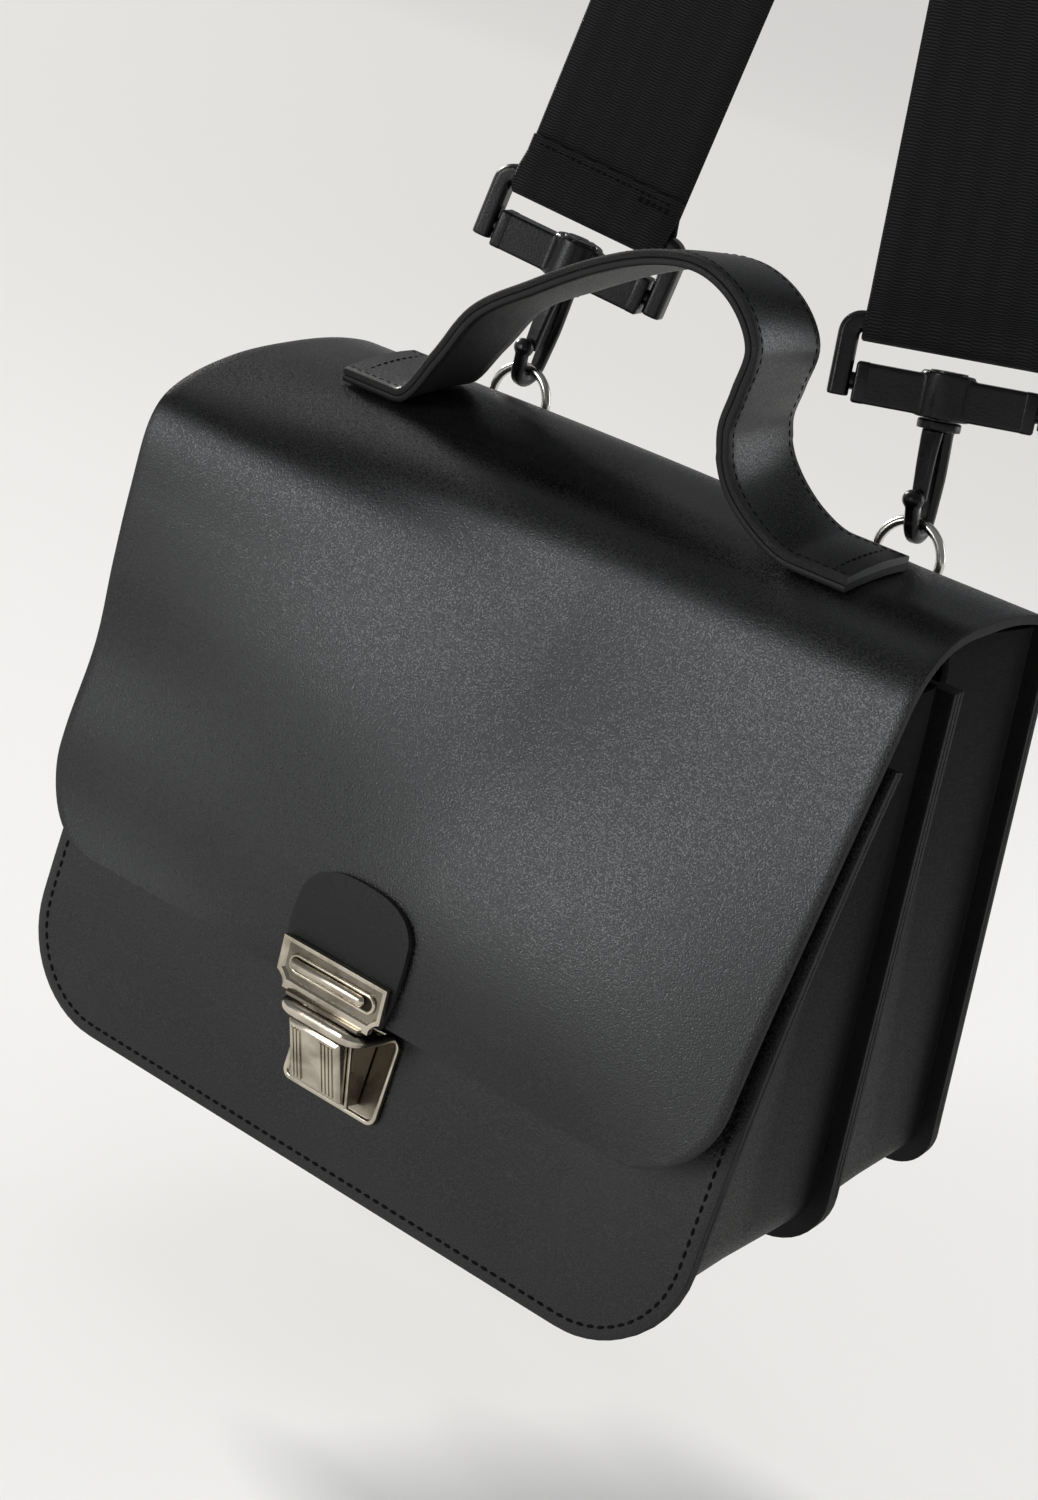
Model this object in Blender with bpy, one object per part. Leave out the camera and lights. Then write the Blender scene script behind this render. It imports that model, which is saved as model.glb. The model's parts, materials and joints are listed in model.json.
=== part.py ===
"""Two-compartment leather satchel hanging from its webbing shoulder strap.

The strap hangs from a peg at the origin, with +Z up and the front of the bag facing -Y. The bag's own frame
has its origin at the middle of the back panel's lower edge, and leans as a bag does that rests on a wall.
"""
import math

import bmesh
import bpy
from mathutils import Matrix, Vector

MM = 0.001
GAP = 0.3 * MM                      # between two pieces that touch

# Bag panels
BAG_WIDTH = 238.0 * MM
PANEL_THICKNESS = 2.4 * MM
FRONT_CORNER = 32.0 * MM
DIVIDER_CORNER = 20.0 * MM
BACK_CORNER = 14.0 * MM
BACK_HEIGHT = 175.0 * MM
FRONT_FOOT = 1.5 * MM               # of the front panel's lower edge, above the back panel's
FRONT_DROP = 18.5 * MM
FRONT_HEIGHT = BACK_HEIGHT - FRONT_DROP
DIVIDER_DROP = 3.0 * MM
DIVIDER_HEIGHT = BACK_HEIGHT - DIVIDER_DROP
BASE_DEPTH = 137.0 * MM             # outer back face to outer front face, at the bottom
MOUTH_DEPTH = 74.0 * MM             # the same at the front panel's upper edge
FRONT_BULGE = 5.0 * MM
DIVIDER_BASE_DEPTH = 59.0 * MM      # outer back face to the divider's middle, at the bottom
DIVIDER_MOUTH_DEPTH = 49.0 * MM
GUSSET_THICKNESS = 1.8 * MM
SEAM_WIDTH = 6.0 * MM

# Flap
FLAP_INSET = 1.0 * MM               # from each side of the bag
FLAP_WIDTH = BAG_WIDTH - 2 * FLAP_INSET
FLAP_THICKNESS = 2.6 * MM
BACK_BEND_RADIUS = 12.5 * MM
FRONT_BEND_RADIUS = 26.0 * MM
TOP_SETBACK = 24.0 * MM
TOP_DEPTH = MOUTH_DEPTH - TOP_SETBACK    # outer back face to where the front bend starts
FLAP_STANDOFF = 16.7 * MM           # of the flap's lower edge from the front panel
FLAP_CORNER_RADIUS = 24.0 * MM

# Handle
HANDLE_WIDTH = 31.0 * MM
HANDLE_LAYER = 2.1 * MM
HANDLE_SETBACK = 10.0 * MM
HANDLE_DEPTH = TOP_DEPTH - HANDLE_SETBACK    # outer back face to the handle's middle
HANDLE_SPAN = 170.0 * MM
HANDLE_TILT = math.radians(12.0)    # of the arch's top, down towards the back
# Arch between the sewn pads, leaning to the right: x, and height above the pads
HANDLE_ROUTE = (
    (-66.0 * MM, 0.0 * MM), (-54.0 * MM, 14.0 * MM), (-42.0 * MM, 31.0 * MM), (-24.0 * MM, 43.0 * MM),
    (-5.0 * MM, 54.0 * MM), (12.0 * MM, 61.0 * MM), (27.0 * MM, 63.0 * MM), (39.0 * MM, 58.0 * MM),
    (46.0 * MM, 48.0 * MM), (44.0 * MM, 36.0 * MM), (42.0 * MM, 25.0 * MM), (46.0 * MM, 13.5 * MM),
    (56.0 * MM, 4.5 * MM), (68.0 * MM, 0.0 * MM))

# Rings and their leather keepers
RING_SPACING = 137.0 * MM
RING_WIRE = 2.8 * MM
RING_WIDTH = 20.0 * MM              # between wire middles
RING_HEIGHT = 20.0 * MM
RING_CORNER = 2.5 * MM
KEEPER_WIDTH = 14.0 * MM
KEEPER_LEATHER = 1.5 * MM
KEEPER_CLEARANCE = 0.4 * MM
KEEPER_DROP = 9.0 * MM              # of the ring's bar, below the back panel's upper edge
KEEPER_HEIGHT = BACK_HEIGHT - KEEPER_DROP
KEEPER_TAIL = 26.0 * MM

# Hanging
STRAP_DROP = 430.0 * MM             # peg to where the rings hang in the hooks
PEG_RADIUS = 12.0 * MM
BAG_LEAN = math.radians(15.0)
HOOK_TWISTS = (math.radians(17.0), math.radians(27.0))

# Webbing
WEBBING_WIDTH = 50.0 * MM
WEBBING_THICKNESS = 1.4 * MM
HEM_LENGTH = 16.0 * MM
TWIST_START = 150.0 * MM            # above the ring seat, where the webbing starts to turn

# Snap hooks
BAIL_SPAN = 60.0 * MM               # between post middles
BAIL_WIDTH = 5.5 * MM
BAIL_DEPTH = 7.0 * MM
BAIL_TOP = 50.0 * MM                # above the ring seat, as the sizes below
BAIL_FOOT = 30.5 * MM
BAIL_SHOULDER = 6.5 * MM
BAR_LOW = 29.0 * MM
BAR_HEIGHT = 10.0 * MM
BAR_DEPTH = 8.0 * MM
BAR_END_GAP = 1.6 * MM
NECK_DIAMETER = 4.0 * MM
HUB_DIAMETER = 14.0 * MM
HUB_LOW = 28.0 * MM
HUB_HEIGHT = 13.0 * MM
STUD_DIAMETER = 6.4 * MM
STUD_CLEARANCE = 0.4 * MM
STUD_HEAD_DIAMETER = 9.0 * MM
STUD_HEAD_HEIGHT = 1.8 * MM
STUD_SPLIT = 1.0 * MM
COLLAR_DIAMETER = 10.0 * MM
COLLAR_HEIGHT = 2.6 * MM
HOOK_WIDTH = 6.0 * MM
HOOK_BAR = 4.0 * MM
HOOK_EYE_RADIUS = 2.5 * MM
HOOK_SEAT_CLEARANCE = 0.5 * MM
HOOK_NOSE = 4.0 * MM
SPINE_SHIFT = 0.8 * MM              # of the spine's upper end, behind the collar's middle
GATE_WIDTH = 5.0 * MM
GATE_THICKNESS = 2.4 * MM
GATE_KNOB = 4.6 * MM
GATE_TIP = 2.9 * MM
GATE_SETOUT = 2.9 * MM              # of the gate's bend, in front of the collar's middle
NOSE_CLEARANCE = 0.7 * MM

# Lock
LOCK_HEIGHT = 35.0 * MM             # middle of the base plate, up the front panel
LOCK_DROP = 17.5 * MM               # middle of the base plate, below the flap's lower edge
PLATE_WIDTH = 34.0 * MM
PLATE_HEIGHT = 26.0 * MM
PLATE_THICKNESS = 1.4 * MM
PLATE_CORNER = 3.0 * MM
HOUSING_WIDTH = 21.0 * MM
HOUSING_FOOT = 3.2 * MM             # above the base plate's lower edge
HOUSING_WALL = 1.0 * MM
HOUSING_LOW_DEPTH = 5.0 * MM        # the housing and its button stand out more towards the top
HOUSING_HIGH_DEPTH = 12.2 * MM
BUTTON_CLEARANCE = 0.3 * MM
BUTTON_TRAVEL = 1.5 * MM
BUTTON_LOW_RISE = 2.4 * MM          # of the button's face past the housing
BUTTON_HIGH_RISE = 4.4 * MM
BUTTON_STEP = 1.0 * MM
ROLL_DIAMETER = 4.4 * MM
ROLL_BEND = 3.2 * MM
ROLL_SPAN = 27.2 * MM               # between the arms' middles
ROLL_REACH = 17.3 * MM              # bar's middle, out from the panel
ROLL_HEIGHT = 12.4 * MM             # bar's middle, above the plate's middle
CATCH_WIDTH = 12.0 * MM
CATCH_THICKNESS = 1.0 * MM
BACKER_THICKNESS = 1.0 * MM
TAB_WIDTH = 40.0 * MM
TAB_THICKNESS = 1.8 * MM
TAB_CORNER = 9.0 * MM
TAB_REACH = 31.5 * MM               # up from the flap's lower edge, as the size below
STRIKE_REACH = 12.0 * MM
STRIKE_HEIGHT = 13.2 * MM
STRIKE_WIDTH = 37.0 * MM
STRIKE_THICKNESS = 1.8 * MM
STRIKE_NOTCH = 3.0 * MM
RIM_THICKNESS = 0.9 * MM
RIB_DIAMETER = 3.6 * MM
RIB_LENGTH = 29.0 * MM
TONGUE_CLEARANCE = 0.5 * MM         # above the roll bar

# Colours: base colour, roughness, metallic
LEATHER = ((0.028, 0.028, 0.030), 0.55, 0.0)
LINING = ((0.045, 0.043, 0.042), 0.8, 0.0)
WEBBING = ((0.012, 0.012, 0.013), 0.75, 0.0)
PLASTIC = ((0.014, 0.014, 0.015), 0.38, 0.0)
NICKEL = ((0.62, 0.58, 0.50), 0.28, 1.0)
STEEL = ((0.70, 0.69, 0.67), 0.25, 1.0)


# Shared tools
def clear_scene():
    for item in list(bpy.data.objects):
        bpy.data.objects.remove(item, do_unlink=True)


def finish(name, mesh, frame, look, smooth=35.0):
    """Adds a mesh as a named object under a frame, with its own material."""
    colour, roughness, metallic = look
    material = bpy.data.materials.new(name)
    material.use_nodes = True
    shader = material.node_tree.nodes["Principled BSDF"]
    shader.inputs["Base Color"].default_value = (*colour, 1.0)
    shader.inputs["Roughness"].default_value = roughness
    shader.inputs["Metallic"].default_value = metallic
    mesh.materials.append(material)
    mesh.shade_smooth()
    mesh.set_sharp_from_angle(angle=math.radians(smooth))
    item = bpy.data.objects.new(name, mesh)
    bpy.context.scene.collection.objects.link(item)
    item.parent = frame
    return item


def make_frame(name, parent, matrix):
    frame = bpy.data.objects.new(name, None)
    bpy.context.scene.collection.objects.link(frame)
    frame.parent = parent
    frame.matrix_local = matrix
    return frame


def as_mesh(name, work):
    bmesh.ops.recalc_face_normals(work, faces=work.faces)
    mesh = bpy.data.meshes.new(name)
    work.to_mesh(mesh)
    work.free()
    return mesh


def loft(name, sections):
    """Closed mesh through a row of sections, each a loop of as many points, with both ends filled."""
    work = bmesh.new()
    rings = [[work.verts.new(point) for point in section] for section in sections]
    count = len(rings[0])
    for low, high in zip(rings, rings[1:]):
        for i in range(count):
            j = (i + 1) % count
            work.faces.new((low[i], low[j], high[j], high[i]))
    work.faces.new(rings[0])
    work.faces.new(rings[-1])
    return as_mesh(name, work)


def prism(name, outline, low, high, axes):
    """Outline of 2-D points pushed from low to high; axes turns (a, b, depth) into a point."""
    return loft(name, [[axes(a, b, depth) for a, b in outline] for depth in (low, high)])


def tangents(points):
    last = len(points) - 1
    return [(points[min(i + 1, last)] - points[max(i - 1, 0)]).normalized() for i in range(len(points))]


def ribbon(name, points, widths, width, thickness, shift=0.0):
    """Flat band along points, with its width along each width direction and a shift along its normal."""
    sections = []
    for point, along, across in zip(points, tangents(points), widths):
        normal = along.cross(across).normalized()
        middle = point + normal * shift
        half, skin = across * (width / 2), normal * (thickness / 2)
        low, high = middle - skin, middle + skin
        sections.append([low - half, low + half, high + half, high - half])
    return loft(name, sections)


def bar(name, points, side, width, thickness, sides=8):
    """Bar of oval section along points; side is the direction of the section's width."""
    sections = []
    for point, along in zip(points, tangents(points)):
        normal = along.cross(side).normalized()
        ring = []
        for i in range(sides):
            turn = 2 * math.pi * (i + 0.5) / sides
            across, through = math.cos(turn) * width / 2, math.sin(turn) * thickness / 2
            ring.append(point + side * across + normal * through)
        sections.append(ring)
    return loft(name, sections)


def arc(centre, radius, start, end, steps):
    """Points (a, b) on an arc, with angles in radians."""
    angles = [start + (end - start) * i / steps for i in range(steps + 1)]
    return [(centre[0] + radius * math.cos(t), centre[1] + radius * math.sin(t)) for t in angles]


def smooth_path(before, knots, after, steps):
    """Points on a Catmull-Rom curve through the knots, with one more on each side for its end directions."""
    guide = [before, *knots, after]
    points = []
    for a, b, c, d in zip(guide, guide[1:], guide[2:], guide[3:]):
        for i in range(steps):
            t = i / steps
            points.append(0.5 * (2 * b + (c - a) * t + (2 * a - 5 * b + 4 * c - d) * t**2
                                 + (3 * b - a - 3 * c + d) * t**3))
    return points + [knots[-1]]


def combine(item, tool, operation):
    """Cuts a tool from an item, or joins it on, and keeps the tool as a hidden guide."""
    tool.hide_render = True
    tool.display_type = "WIRE"
    change = item.modifiers.new(tool.name, "BOOLEAN")
    change.operation = operation
    change.solver = "EXACT"
    change.object = tool


def turned(name, diameter, low, high, sides=20):
    turns = [2 * math.pi * i / sides for i in range(sides)]
    outline = [(diameter / 2 * math.cos(turn), diameter / 2 * math.sin(turn)) for turn in turns]
    return prism(name, outline, low, high, lambda a, b, c: Vector((a, b, c)))


def box(name, x, y, z):
    outline = [(x[0], y[0]), (x[1], y[0]), (x[1], y[1]), (x[0], y[1])]
    return prism(name, outline, z[0], z[1], lambda a, b, c: Vector((a, b, c)))


# Bag body: each panel is a sheet, with x across it, v up it and w out from its outer face towards the front
def sheet(depth_low, depth_high, height, corner, foot=0.0, bulge=0.0):
    """Returns the sheet's edge, as (length, corner radius), and what turns (x, v, w) into a bag point."""
    lean = math.atan2(depth_low - depth_high, height)
    length = math.hypot(depth_low - depth_high, height)
    up = Vector((0, math.sin(lean), math.cos(lean)))
    out = Vector((0, -math.cos(lean), math.sin(lean)))

    def place(x, v, w):
        swell = 4 * bulge * v * (length - v) / length**2
        return Vector((x, -depth_low, foot)) + up * v + out * (w + swell)
    return (length, corner), place


def rim_path(edge, inset, steps=6):
    """Points (x, v) down a panel's left edge, round the bottom and up the right edge, with an inset."""
    length, corner = edge
    half = BAG_WIDTH / 2 - inset
    side = [(-half, length + (corner - length) * i / steps) for i in range(steps)]
    bend = arc((-BAG_WIDTH / 2 + corner, corner), corner - inset, math.pi, 1.5 * math.pi, steps)
    left = side + bend
    return left + [(-x, v) for x, v in reversed(left)]


def panel(name, frame, edge, place, w_inner, w_outer, look=LEATHER):
    """Panel with rounded lower corners, built in rows from its lower edge up."""
    left = [point for point in rim_path(edge, 0.0) if point[0] < 0]
    rows = []
    for x, v in reversed(left):
        corners = ((x, w_inner), (-x, w_inner), (-x, w_outer), (x, w_outer))
        rows.append([place(a, v, w) for a, w in corners])
    return finish(name, loft(name, rows), frame, look)


def gusset(name, frame, front, rear):
    """Side and bottom strip, its edges turned out and sewn to two panels; each is (edge, place, w face)."""
    (front_edge, front_place, front_face), (rear_edge, rear_place, rear_face) = front, rear
    inner = SEAM_WIDTH + GUSSET_THICKNESS
    stations = []
    for inset, place, edge, face, step in (
            (0.0, front_place, front_edge, front_face, 0.0),
            (0.0, front_place, front_edge, front_face, -GUSSET_THICKNESS),
            (SEAM_WIDTH, front_place, front_edge, front_face, -GUSSET_THICKNESS),
            (SEAM_WIDTH, rear_place, rear_edge, rear_face, GUSSET_THICKNESS),
            (0.0, rear_place, rear_edge, rear_face, GUSSET_THICKNESS),
            (0.0, rear_place, rear_edge, rear_face, 0.0),
            (inner, rear_place, rear_edge, rear_face, 0.0),
            (inner, front_place, front_edge, front_face, 0.0)):
        stations.append([place(x, v, face + step) for x, v in rim_path(edge, inset)])
    return finish(name, loft(name, list(zip(*stations))), frame, LEATHER)


def build_panels(frame):
    back = sheet(0.0, 0.0, BACK_HEIGHT, BACK_CORNER)
    divider = sheet(DIVIDER_BASE_DEPTH, DIVIDER_MOUTH_DEPTH, DIVIDER_HEIGHT, DIVIDER_CORNER)
    front = sheet(BASE_DEPTH, MOUTH_DEPTH, FRONT_HEIGHT, FRONT_CORNER, FRONT_FOOT, FRONT_BULGE)
    panel("back_panel", frame, *back, 0.0, PANEL_THICKNESS)
    panel("divider_panel", frame, *divider, -PANEL_THICKNESS / 2, PANEL_THICKNESS / 2, LINING)
    panel("front_panel", frame, *front, -PANEL_THICKNESS, 0.0)
    gusset("front_gusset", frame, (*front, -PANEL_THICKNESS - GAP), (*divider, PANEL_THICKNESS / 2 + GAP))
    gusset("rear_gusset", frame, (*divider, -PANEL_THICKNESS / 2 - GAP), (*back, PANEL_THICKNESS + GAP))
    return front


# Flap: the back's leather carried over the top, then down the front
def front_lean():
    return math.atan2(BASE_DEPTH - MOUTH_DEPTH, FRONT_HEIGHT)


def flap_hang():
    """Slope from upright and length of the hanging front, from the front bend to its edge by the lock."""
    lean = front_lean()
    up, out = Vector((0, math.sin(lean), math.cos(lean))), Vector((0, -math.cos(lean), math.sin(lean)))
    foot = Vector((0, -BASE_DEPTH, FRONT_FOOT))
    edge = foot + up * (LOCK_HEIGHT + LOCK_DROP) + out * FLAP_STANDOFF
    bend_middle = Vector((0, -TOP_DEPTH, BACK_HEIGHT + GAP + BACK_BEND_RADIUS - FRONT_BEND_RADIUS))
    span = bend_middle - edge
    length = math.sqrt(span.length_squared - FRONT_BEND_RADIUS**2)
    return math.atan2(span.y, span.z) - math.atan2(FRONT_BEND_RADIUS, length), length


def flap_profile(inset):
    """Points (y, z) of the flap's top from the back panel to the fold, inset from its outer face."""
    turn = math.pi / 2 - flap_hang()[0]
    top = BACK_HEIGHT + GAP + BACK_BEND_RADIUS
    rear = arc((-BACK_BEND_RADIUS, top - BACK_BEND_RADIUS), BACK_BEND_RADIUS - inset, 0, math.pi / 2, 6)
    front_middle = (-TOP_DEPTH, top - FRONT_BEND_RADIUS)
    return rear + arc(front_middle, FRONT_BEND_RADIUS - inset, math.pi / 2, math.pi / 2 + turn, 8)


def fold_point():
    y, z = flap_profile(0.0)[-1]
    return Vector((0, y, z))


def build_flap_top(frame):
    """The frame lies on the bend axis at the back panel's upper edge."""
    origin = Vector((0, 0, BACK_HEIGHT))
    outline = flap_profile(0.0) + list(reversed(flap_profile(FLAP_THICKNESS)))
    half = FLAP_WIDTH / 2
    mesh = prism("flap_top", outline, -half, half, lambda y, z, x: Vector((x, y, z)) - origin)
    finish("flap_top", mesh, frame, LEATHER)


def handle_path():
    """Middle line of the handle's seam, in the flap top's frame, from its left end to its right."""
    seat = GAP + BACK_BEND_RADIUS + GAP + HANDLE_LAYER + GAP / 2
    place = Vector((0, -HANDLE_DEPTH, seat))
    route = [Vector((x, 0, z)) for x, z in HANDLE_ROUTE]
    before = Vector((2 * route[0].x - route[1].x, 0, route[1].z))
    after = Vector((2 * route[-1].x - route[-2].x, 0, route[-2].z))
    curve = smooth_path(before, route, after, 4)
    half = Vector((HANDLE_SPAN / 2, 0, 0))
    return [place + point for point in (-half, *curve, half)]


def build_handle(frame):
    path = handle_path()
    low, high = min(point.z for point in path), max(point.z for point in path)
    tilts = [HANDLE_TILT * (point.z - low) / (high - low) for point in path]
    across = [Vector((0, math.cos(tilt), -math.sin(tilt))) for tilt in tilts]
    shift = (HANDLE_LAYER + GAP) / 2
    for name, side, look in (("handle_lining", -shift, LINING), ("handle", shift, LEATHER)):
        mesh = ribbon(name, path, across, HANDLE_WIDTH, HANDLE_LAYER, side)
        finish(name, mesh, frame, look)


def on_flap(x, s, w):
    """Point in the flap front's frame, s down from the fold and w out from the outer face."""
    slope, _ = flap_hang()
    down = Vector((0, -math.sin(slope), -math.cos(slope)))
    out = Vector((0, -math.cos(slope), math.sin(slope)))
    return Vector((x, 0, 0)) + down * s + out * w


def build_flap_front(frame):
    half, radius = FLAP_WIDTH / 2, FLAP_CORNER_RADIUS
    _, length = flap_hang()
    right = arc((half - radius, length - radius), radius, 0, math.pi / 2, 7)
    outline = [(half, GAP), *right, *[(-x, s) for x, s in reversed(right)], (-half, GAP)]
    finish("flap_front", prism("flap_front", outline, -FLAP_THICKNESS, 0.0, on_flap), frame, LEATHER)


def build_hasp(frame):
    """Leather tab on the flap, and the metal strike plate clamped over the tab's end."""
    low, high = GAP, GAP + TAB_THICKNESS
    half, radius = TAB_WIDTH / 2, TAB_CORNER
    _, length = flap_hang()
    tab_top, strike_top, tab_end = length - TAB_REACH, length - STRIKE_REACH, length - GAP
    right = arc((half - radius, tab_top + radius), radius, -math.pi / 2, 0, 6)
    right += [(half, strike_top), (half - STRIKE_NOTCH, tab_end)]
    outline = [(-x, s) for x, s in reversed(right)] + right
    finish("lock_tab", prism("lock_tab", outline, low, high, on_flap), frame, LEATHER)
    behind = -FLAP_THICKNESS - GAP
    backer = box_on(on_flap, "strike_backer", STRIKE_WIDTH - 2 * STRIKE_NOTCH, (strike_top, tab_end),
                    (behind - BACKER_THICKNESS, behind))
    finish("strike_backer", backer, frame, NICKEL)

    plate_low = high + GAP
    plate_high = plate_low + STRIKE_THICKNESS
    wide, narrow = STRIKE_WIDTH / 2, STRIKE_WIDTH / 2 - STRIKE_NOTCH
    plate_end = strike_top + STRIKE_HEIGHT
    tongue_end = length + LOCK_DROP - ROLL_HEIGHT - ROLL_DIAMETER / 2 - TONGUE_CLEARANCE
    right = [(wide, strike_top), (wide, plate_end - STRIKE_NOTCH), (narrow, plate_end), (narrow, tongue_end)]
    outline = right + [(-x, s) for x, s in reversed(right)]
    plate_mesh = prism("strike_plate", outline, plate_low, plate_high, on_flap)
    plate = finish("strike_plate", plate_mesh, frame, NICKEL)
    middle = strike_top + STRIKE_HEIGHT / 2
    slot = oblong(RIB_LENGTH + 2 * GAP, RIB_DIAMETER + 2 * GAP, middle)
    slot_mesh = prism("strike_slot", slot, plate_low + RIM_THICKNESS, plate_high + GAP, on_flap)
    combine(plate, finish("strike_slot", slot_mesh, frame, NICKEL), "DIFFERENCE")
    rib_low, rib_high = plate_low + RIM_THICKNESS + GAP, plate_high + RIM_THICKNESS
    rib = oblong(RIB_LENGTH, RIB_DIAMETER, middle)
    crest = oblong(RIB_LENGTH - RIB_DIAMETER / 2, RIB_DIAMETER / 2, middle)
    levels = ((rib, rib_low), (rib, plate_high), (crest, rib_high))
    sections = [[on_flap(x, s, w) for x, s in loop] for loop, w in levels]
    finish("strike_rib", loft("strike_rib", sections), frame, NICKEL)


def oblong(length, width, s):
    reach = (length - width) / 2
    right = arc((reach, s), width / 2, -math.pi / 2, math.pi / 2, 6)
    return right + arc((-reach, s), width / 2, math.pi / 2, 1.5 * math.pi, 6)


def box_on(place, name, width, s, w):
    outline = [(-width / 2, s[0]), (width / 2, s[0]), (width / 2, s[1]), (-width / 2, s[1])]
    return prism(name, outline, w[0], w[1], place)


# Lock, in a frame on the front panel's outer face with x across, y up the panel and z out from it
def build_lock(frame, button_frame):
    plate_top = GAP + PLATE_THICKNESS
    half, tall, radius = PLATE_WIDTH / 2, PLATE_HEIGHT / 2, PLATE_CORNER
    corner = arc((half - radius, radius - tall), radius, -math.pi / 2, 0, 4)
    outline = [*corner, (half, tall), (-half, tall), *[(-x, y) for x, y in reversed(corner)]]
    plate = loft("lock_base_plate", [[Vector((x, y, z)) for x, y in outline] for z in (GAP, plate_top)])
    finish("lock_base_plate", plate, frame, NICKEL)
    behind = -PANEL_THICKNESS - GAP
    backer = box("lock_backer", (-half, half), (-tall, tall), (behind - BACKER_THICKNESS, behind))
    finish("lock_backer", backer, frame, NICKEL)

    floor = plate_top + GAP
    reach = ROLL_SPAN / 2
    bend = arc((ROLL_BEND - reach, ROLL_REACH - ROLL_BEND), ROLL_BEND, math.pi, math.pi / 2, 5)
    left = [(-reach, floor), *bend]
    path = [Vector((x, ROLL_HEIGHT, z)) for x, z in left + [(-x, z) for x, z in reversed(left)]]
    roll = bar("lock_roll_bar", path, Vector((0, 1, 0)), ROLL_DIAMETER, ROLL_DIAMETER, 10)
    finish("lock_roll_bar", roll, frame, NICKEL)

    low, high = HOUSING_FOOT - tall, ROLL_HEIGHT - ROLL_DIAMETER / 2 - BUTTON_CLEARANCE
    side = HOUSING_WIDTH / 2
    low_front, high_front = floor + HOUSING_LOW_DEPTH, floor + HOUSING_HIGH_DEPTH
    profile = [(low, floor), (low, low_front), (high, high_front), (high, floor)]
    block = prism("lock_housing", profile, -side, side, lambda y, z, x: Vector((x, y, z)))
    housing = finish("lock_housing", block, frame, NICKEL)
    wall = HOUSING_WALL
    well = box("housing_well", (wall - side, side - wall), (low + wall, high + wall),
               (floor - wall, high_front + wall))
    combine(housing, finish("housing_well", well, frame, NICKEL), "DIFFERENCE")
    build_button(button_frame, floor, low, high)


def build_button(frame, floor, low, high):
    """Push button in the housing, with a face that slopes as the housing does, and the catch it carries."""
    half = HOUSING_WIDTH / 2 - HOUSING_WALL - BUTTON_CLEARANCE
    foot = low + HOUSING_WALL + BUTTON_CLEARANCE
    start = floor + BUTTON_TRAVEL + CATCH_THICKNESS + GAP
    low_face = floor + HOUSING_LOW_DEPTH + BUTTON_LOW_RISE
    high_face = floor + HOUSING_HIGH_DEPTH + BUTTON_HIGH_RISE
    sections = []
    levels = ((0.0, start, start), (0.0, low_face - BUTTON_STEP, high_face - BUTTON_STEP),
              (BUTTON_STEP, low_face, high_face))
    for inset, low_z, high_z in levels:
        x, y_low, y_high = half - inset, foot + inset, high - inset
        corners = ((-x, y_low, low_z), (x, y_low, low_z), (x, y_high, high_z), (-x, y_high, high_z))
        sections.append([Vector(corner) for corner in corners])
    finish("lock_button", loft("lock_button", sections), frame, NICKEL)
    catch_low = start - GAP - CATCH_THICKNESS
    catch = box("lock_catch", (-CATCH_WIDTH / 2, CATCH_WIDTH / 2), (foot, PLATE_HEIGHT / 2),
                (catch_low, catch_low + CATCH_THICKNESS))
    finish("lock_catch", catch, frame, STEEL)


# Rings and keepers
def build_ring(name, frame, x):
    """D-ring in the plane of the strap; the frame lies where the rings hang in the hooks."""
    half, bend = RING_WIDTH / 2, RING_CORNER
    low = -RING_HEIGHT
    right = [(0, low), *arc((half - bend, low + bend), bend, -math.pi / 2, 0, 4),
             *arc((0, -half), half, 0, math.pi / 2, 8)]
    loop = right + [(-a, b) for a, b in reversed(right[1:-1])]
    points = [Vector((x + a, 0, b)) for a, b in loop]
    count, sides = len(points), 8
    work = bmesh.new()
    rings = []
    for i, point in enumerate(points):
        along = (points[(i + 1) % count] - points[i - 1]).normalized()
        normal = along.cross(Vector((0, 1, 0)))
        turns = [2 * math.pi * (k + 0.5) / sides for k in range(sides)]
        offsets = [normal * math.cos(turn) + Vector((0, 1, 0)) * math.sin(turn) for turn in turns]
        rings.append([work.verts.new(point + offset * (RING_WIRE / 2)) for offset in offsets])
    for i in range(count):
        first, second = rings[i], rings[(i + 1) % count]
        for k in range(sides):
            work.faces.new((first[k], first[(k + 1) % sides], second[(k + 1) % sides], second[k]))
    finish(name, as_mesh(name, work), frame, STEEL)


def keeper_depth():
    """Distance of a ring's bar behind the back panel's outer face."""
    return GAP + KEEPER_LEATHER + KEEPER_CLEARANCE + RING_WIRE / 2


def build_keeper(name, frame, x):
    """Leather strip folded round a ring's bar, with both tails sewn to the back panel."""
    depth = keeper_depth()
    radius = RING_WIRE / 2 + KEEPER_CLEARANCE + KEEPER_LEATHER / 2
    tail_low = KEEPER_HEIGHT - KEEPER_TAIL
    inner_y = depth - radius
    outer_y = inner_y + KEEPER_LEATHER + GAP
    waist = KEEPER_HEIGHT - 3.2 * radius
    loop = [(inner_y, tail_low), (inner_y, waist), *arc((depth, KEEPER_HEIGHT), radius, math.pi, 0, 10)]
    loop += [(depth + radius, KEEPER_HEIGHT - radius * 0.8), (outer_y + 0.4 * radius, waist + 0.5 * radius),
             (outer_y, waist - 0.5 * radius), (outer_y, tail_low)]
    points = [Vector((x, y, z)) for y, z in loop]
    mesh = ribbon(name, points, [Vector((1, 0, 0))] * len(points), KEEPER_WIDTH, KEEPER_LEATHER)
    finish(name, mesh, frame, LEATHER)


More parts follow.
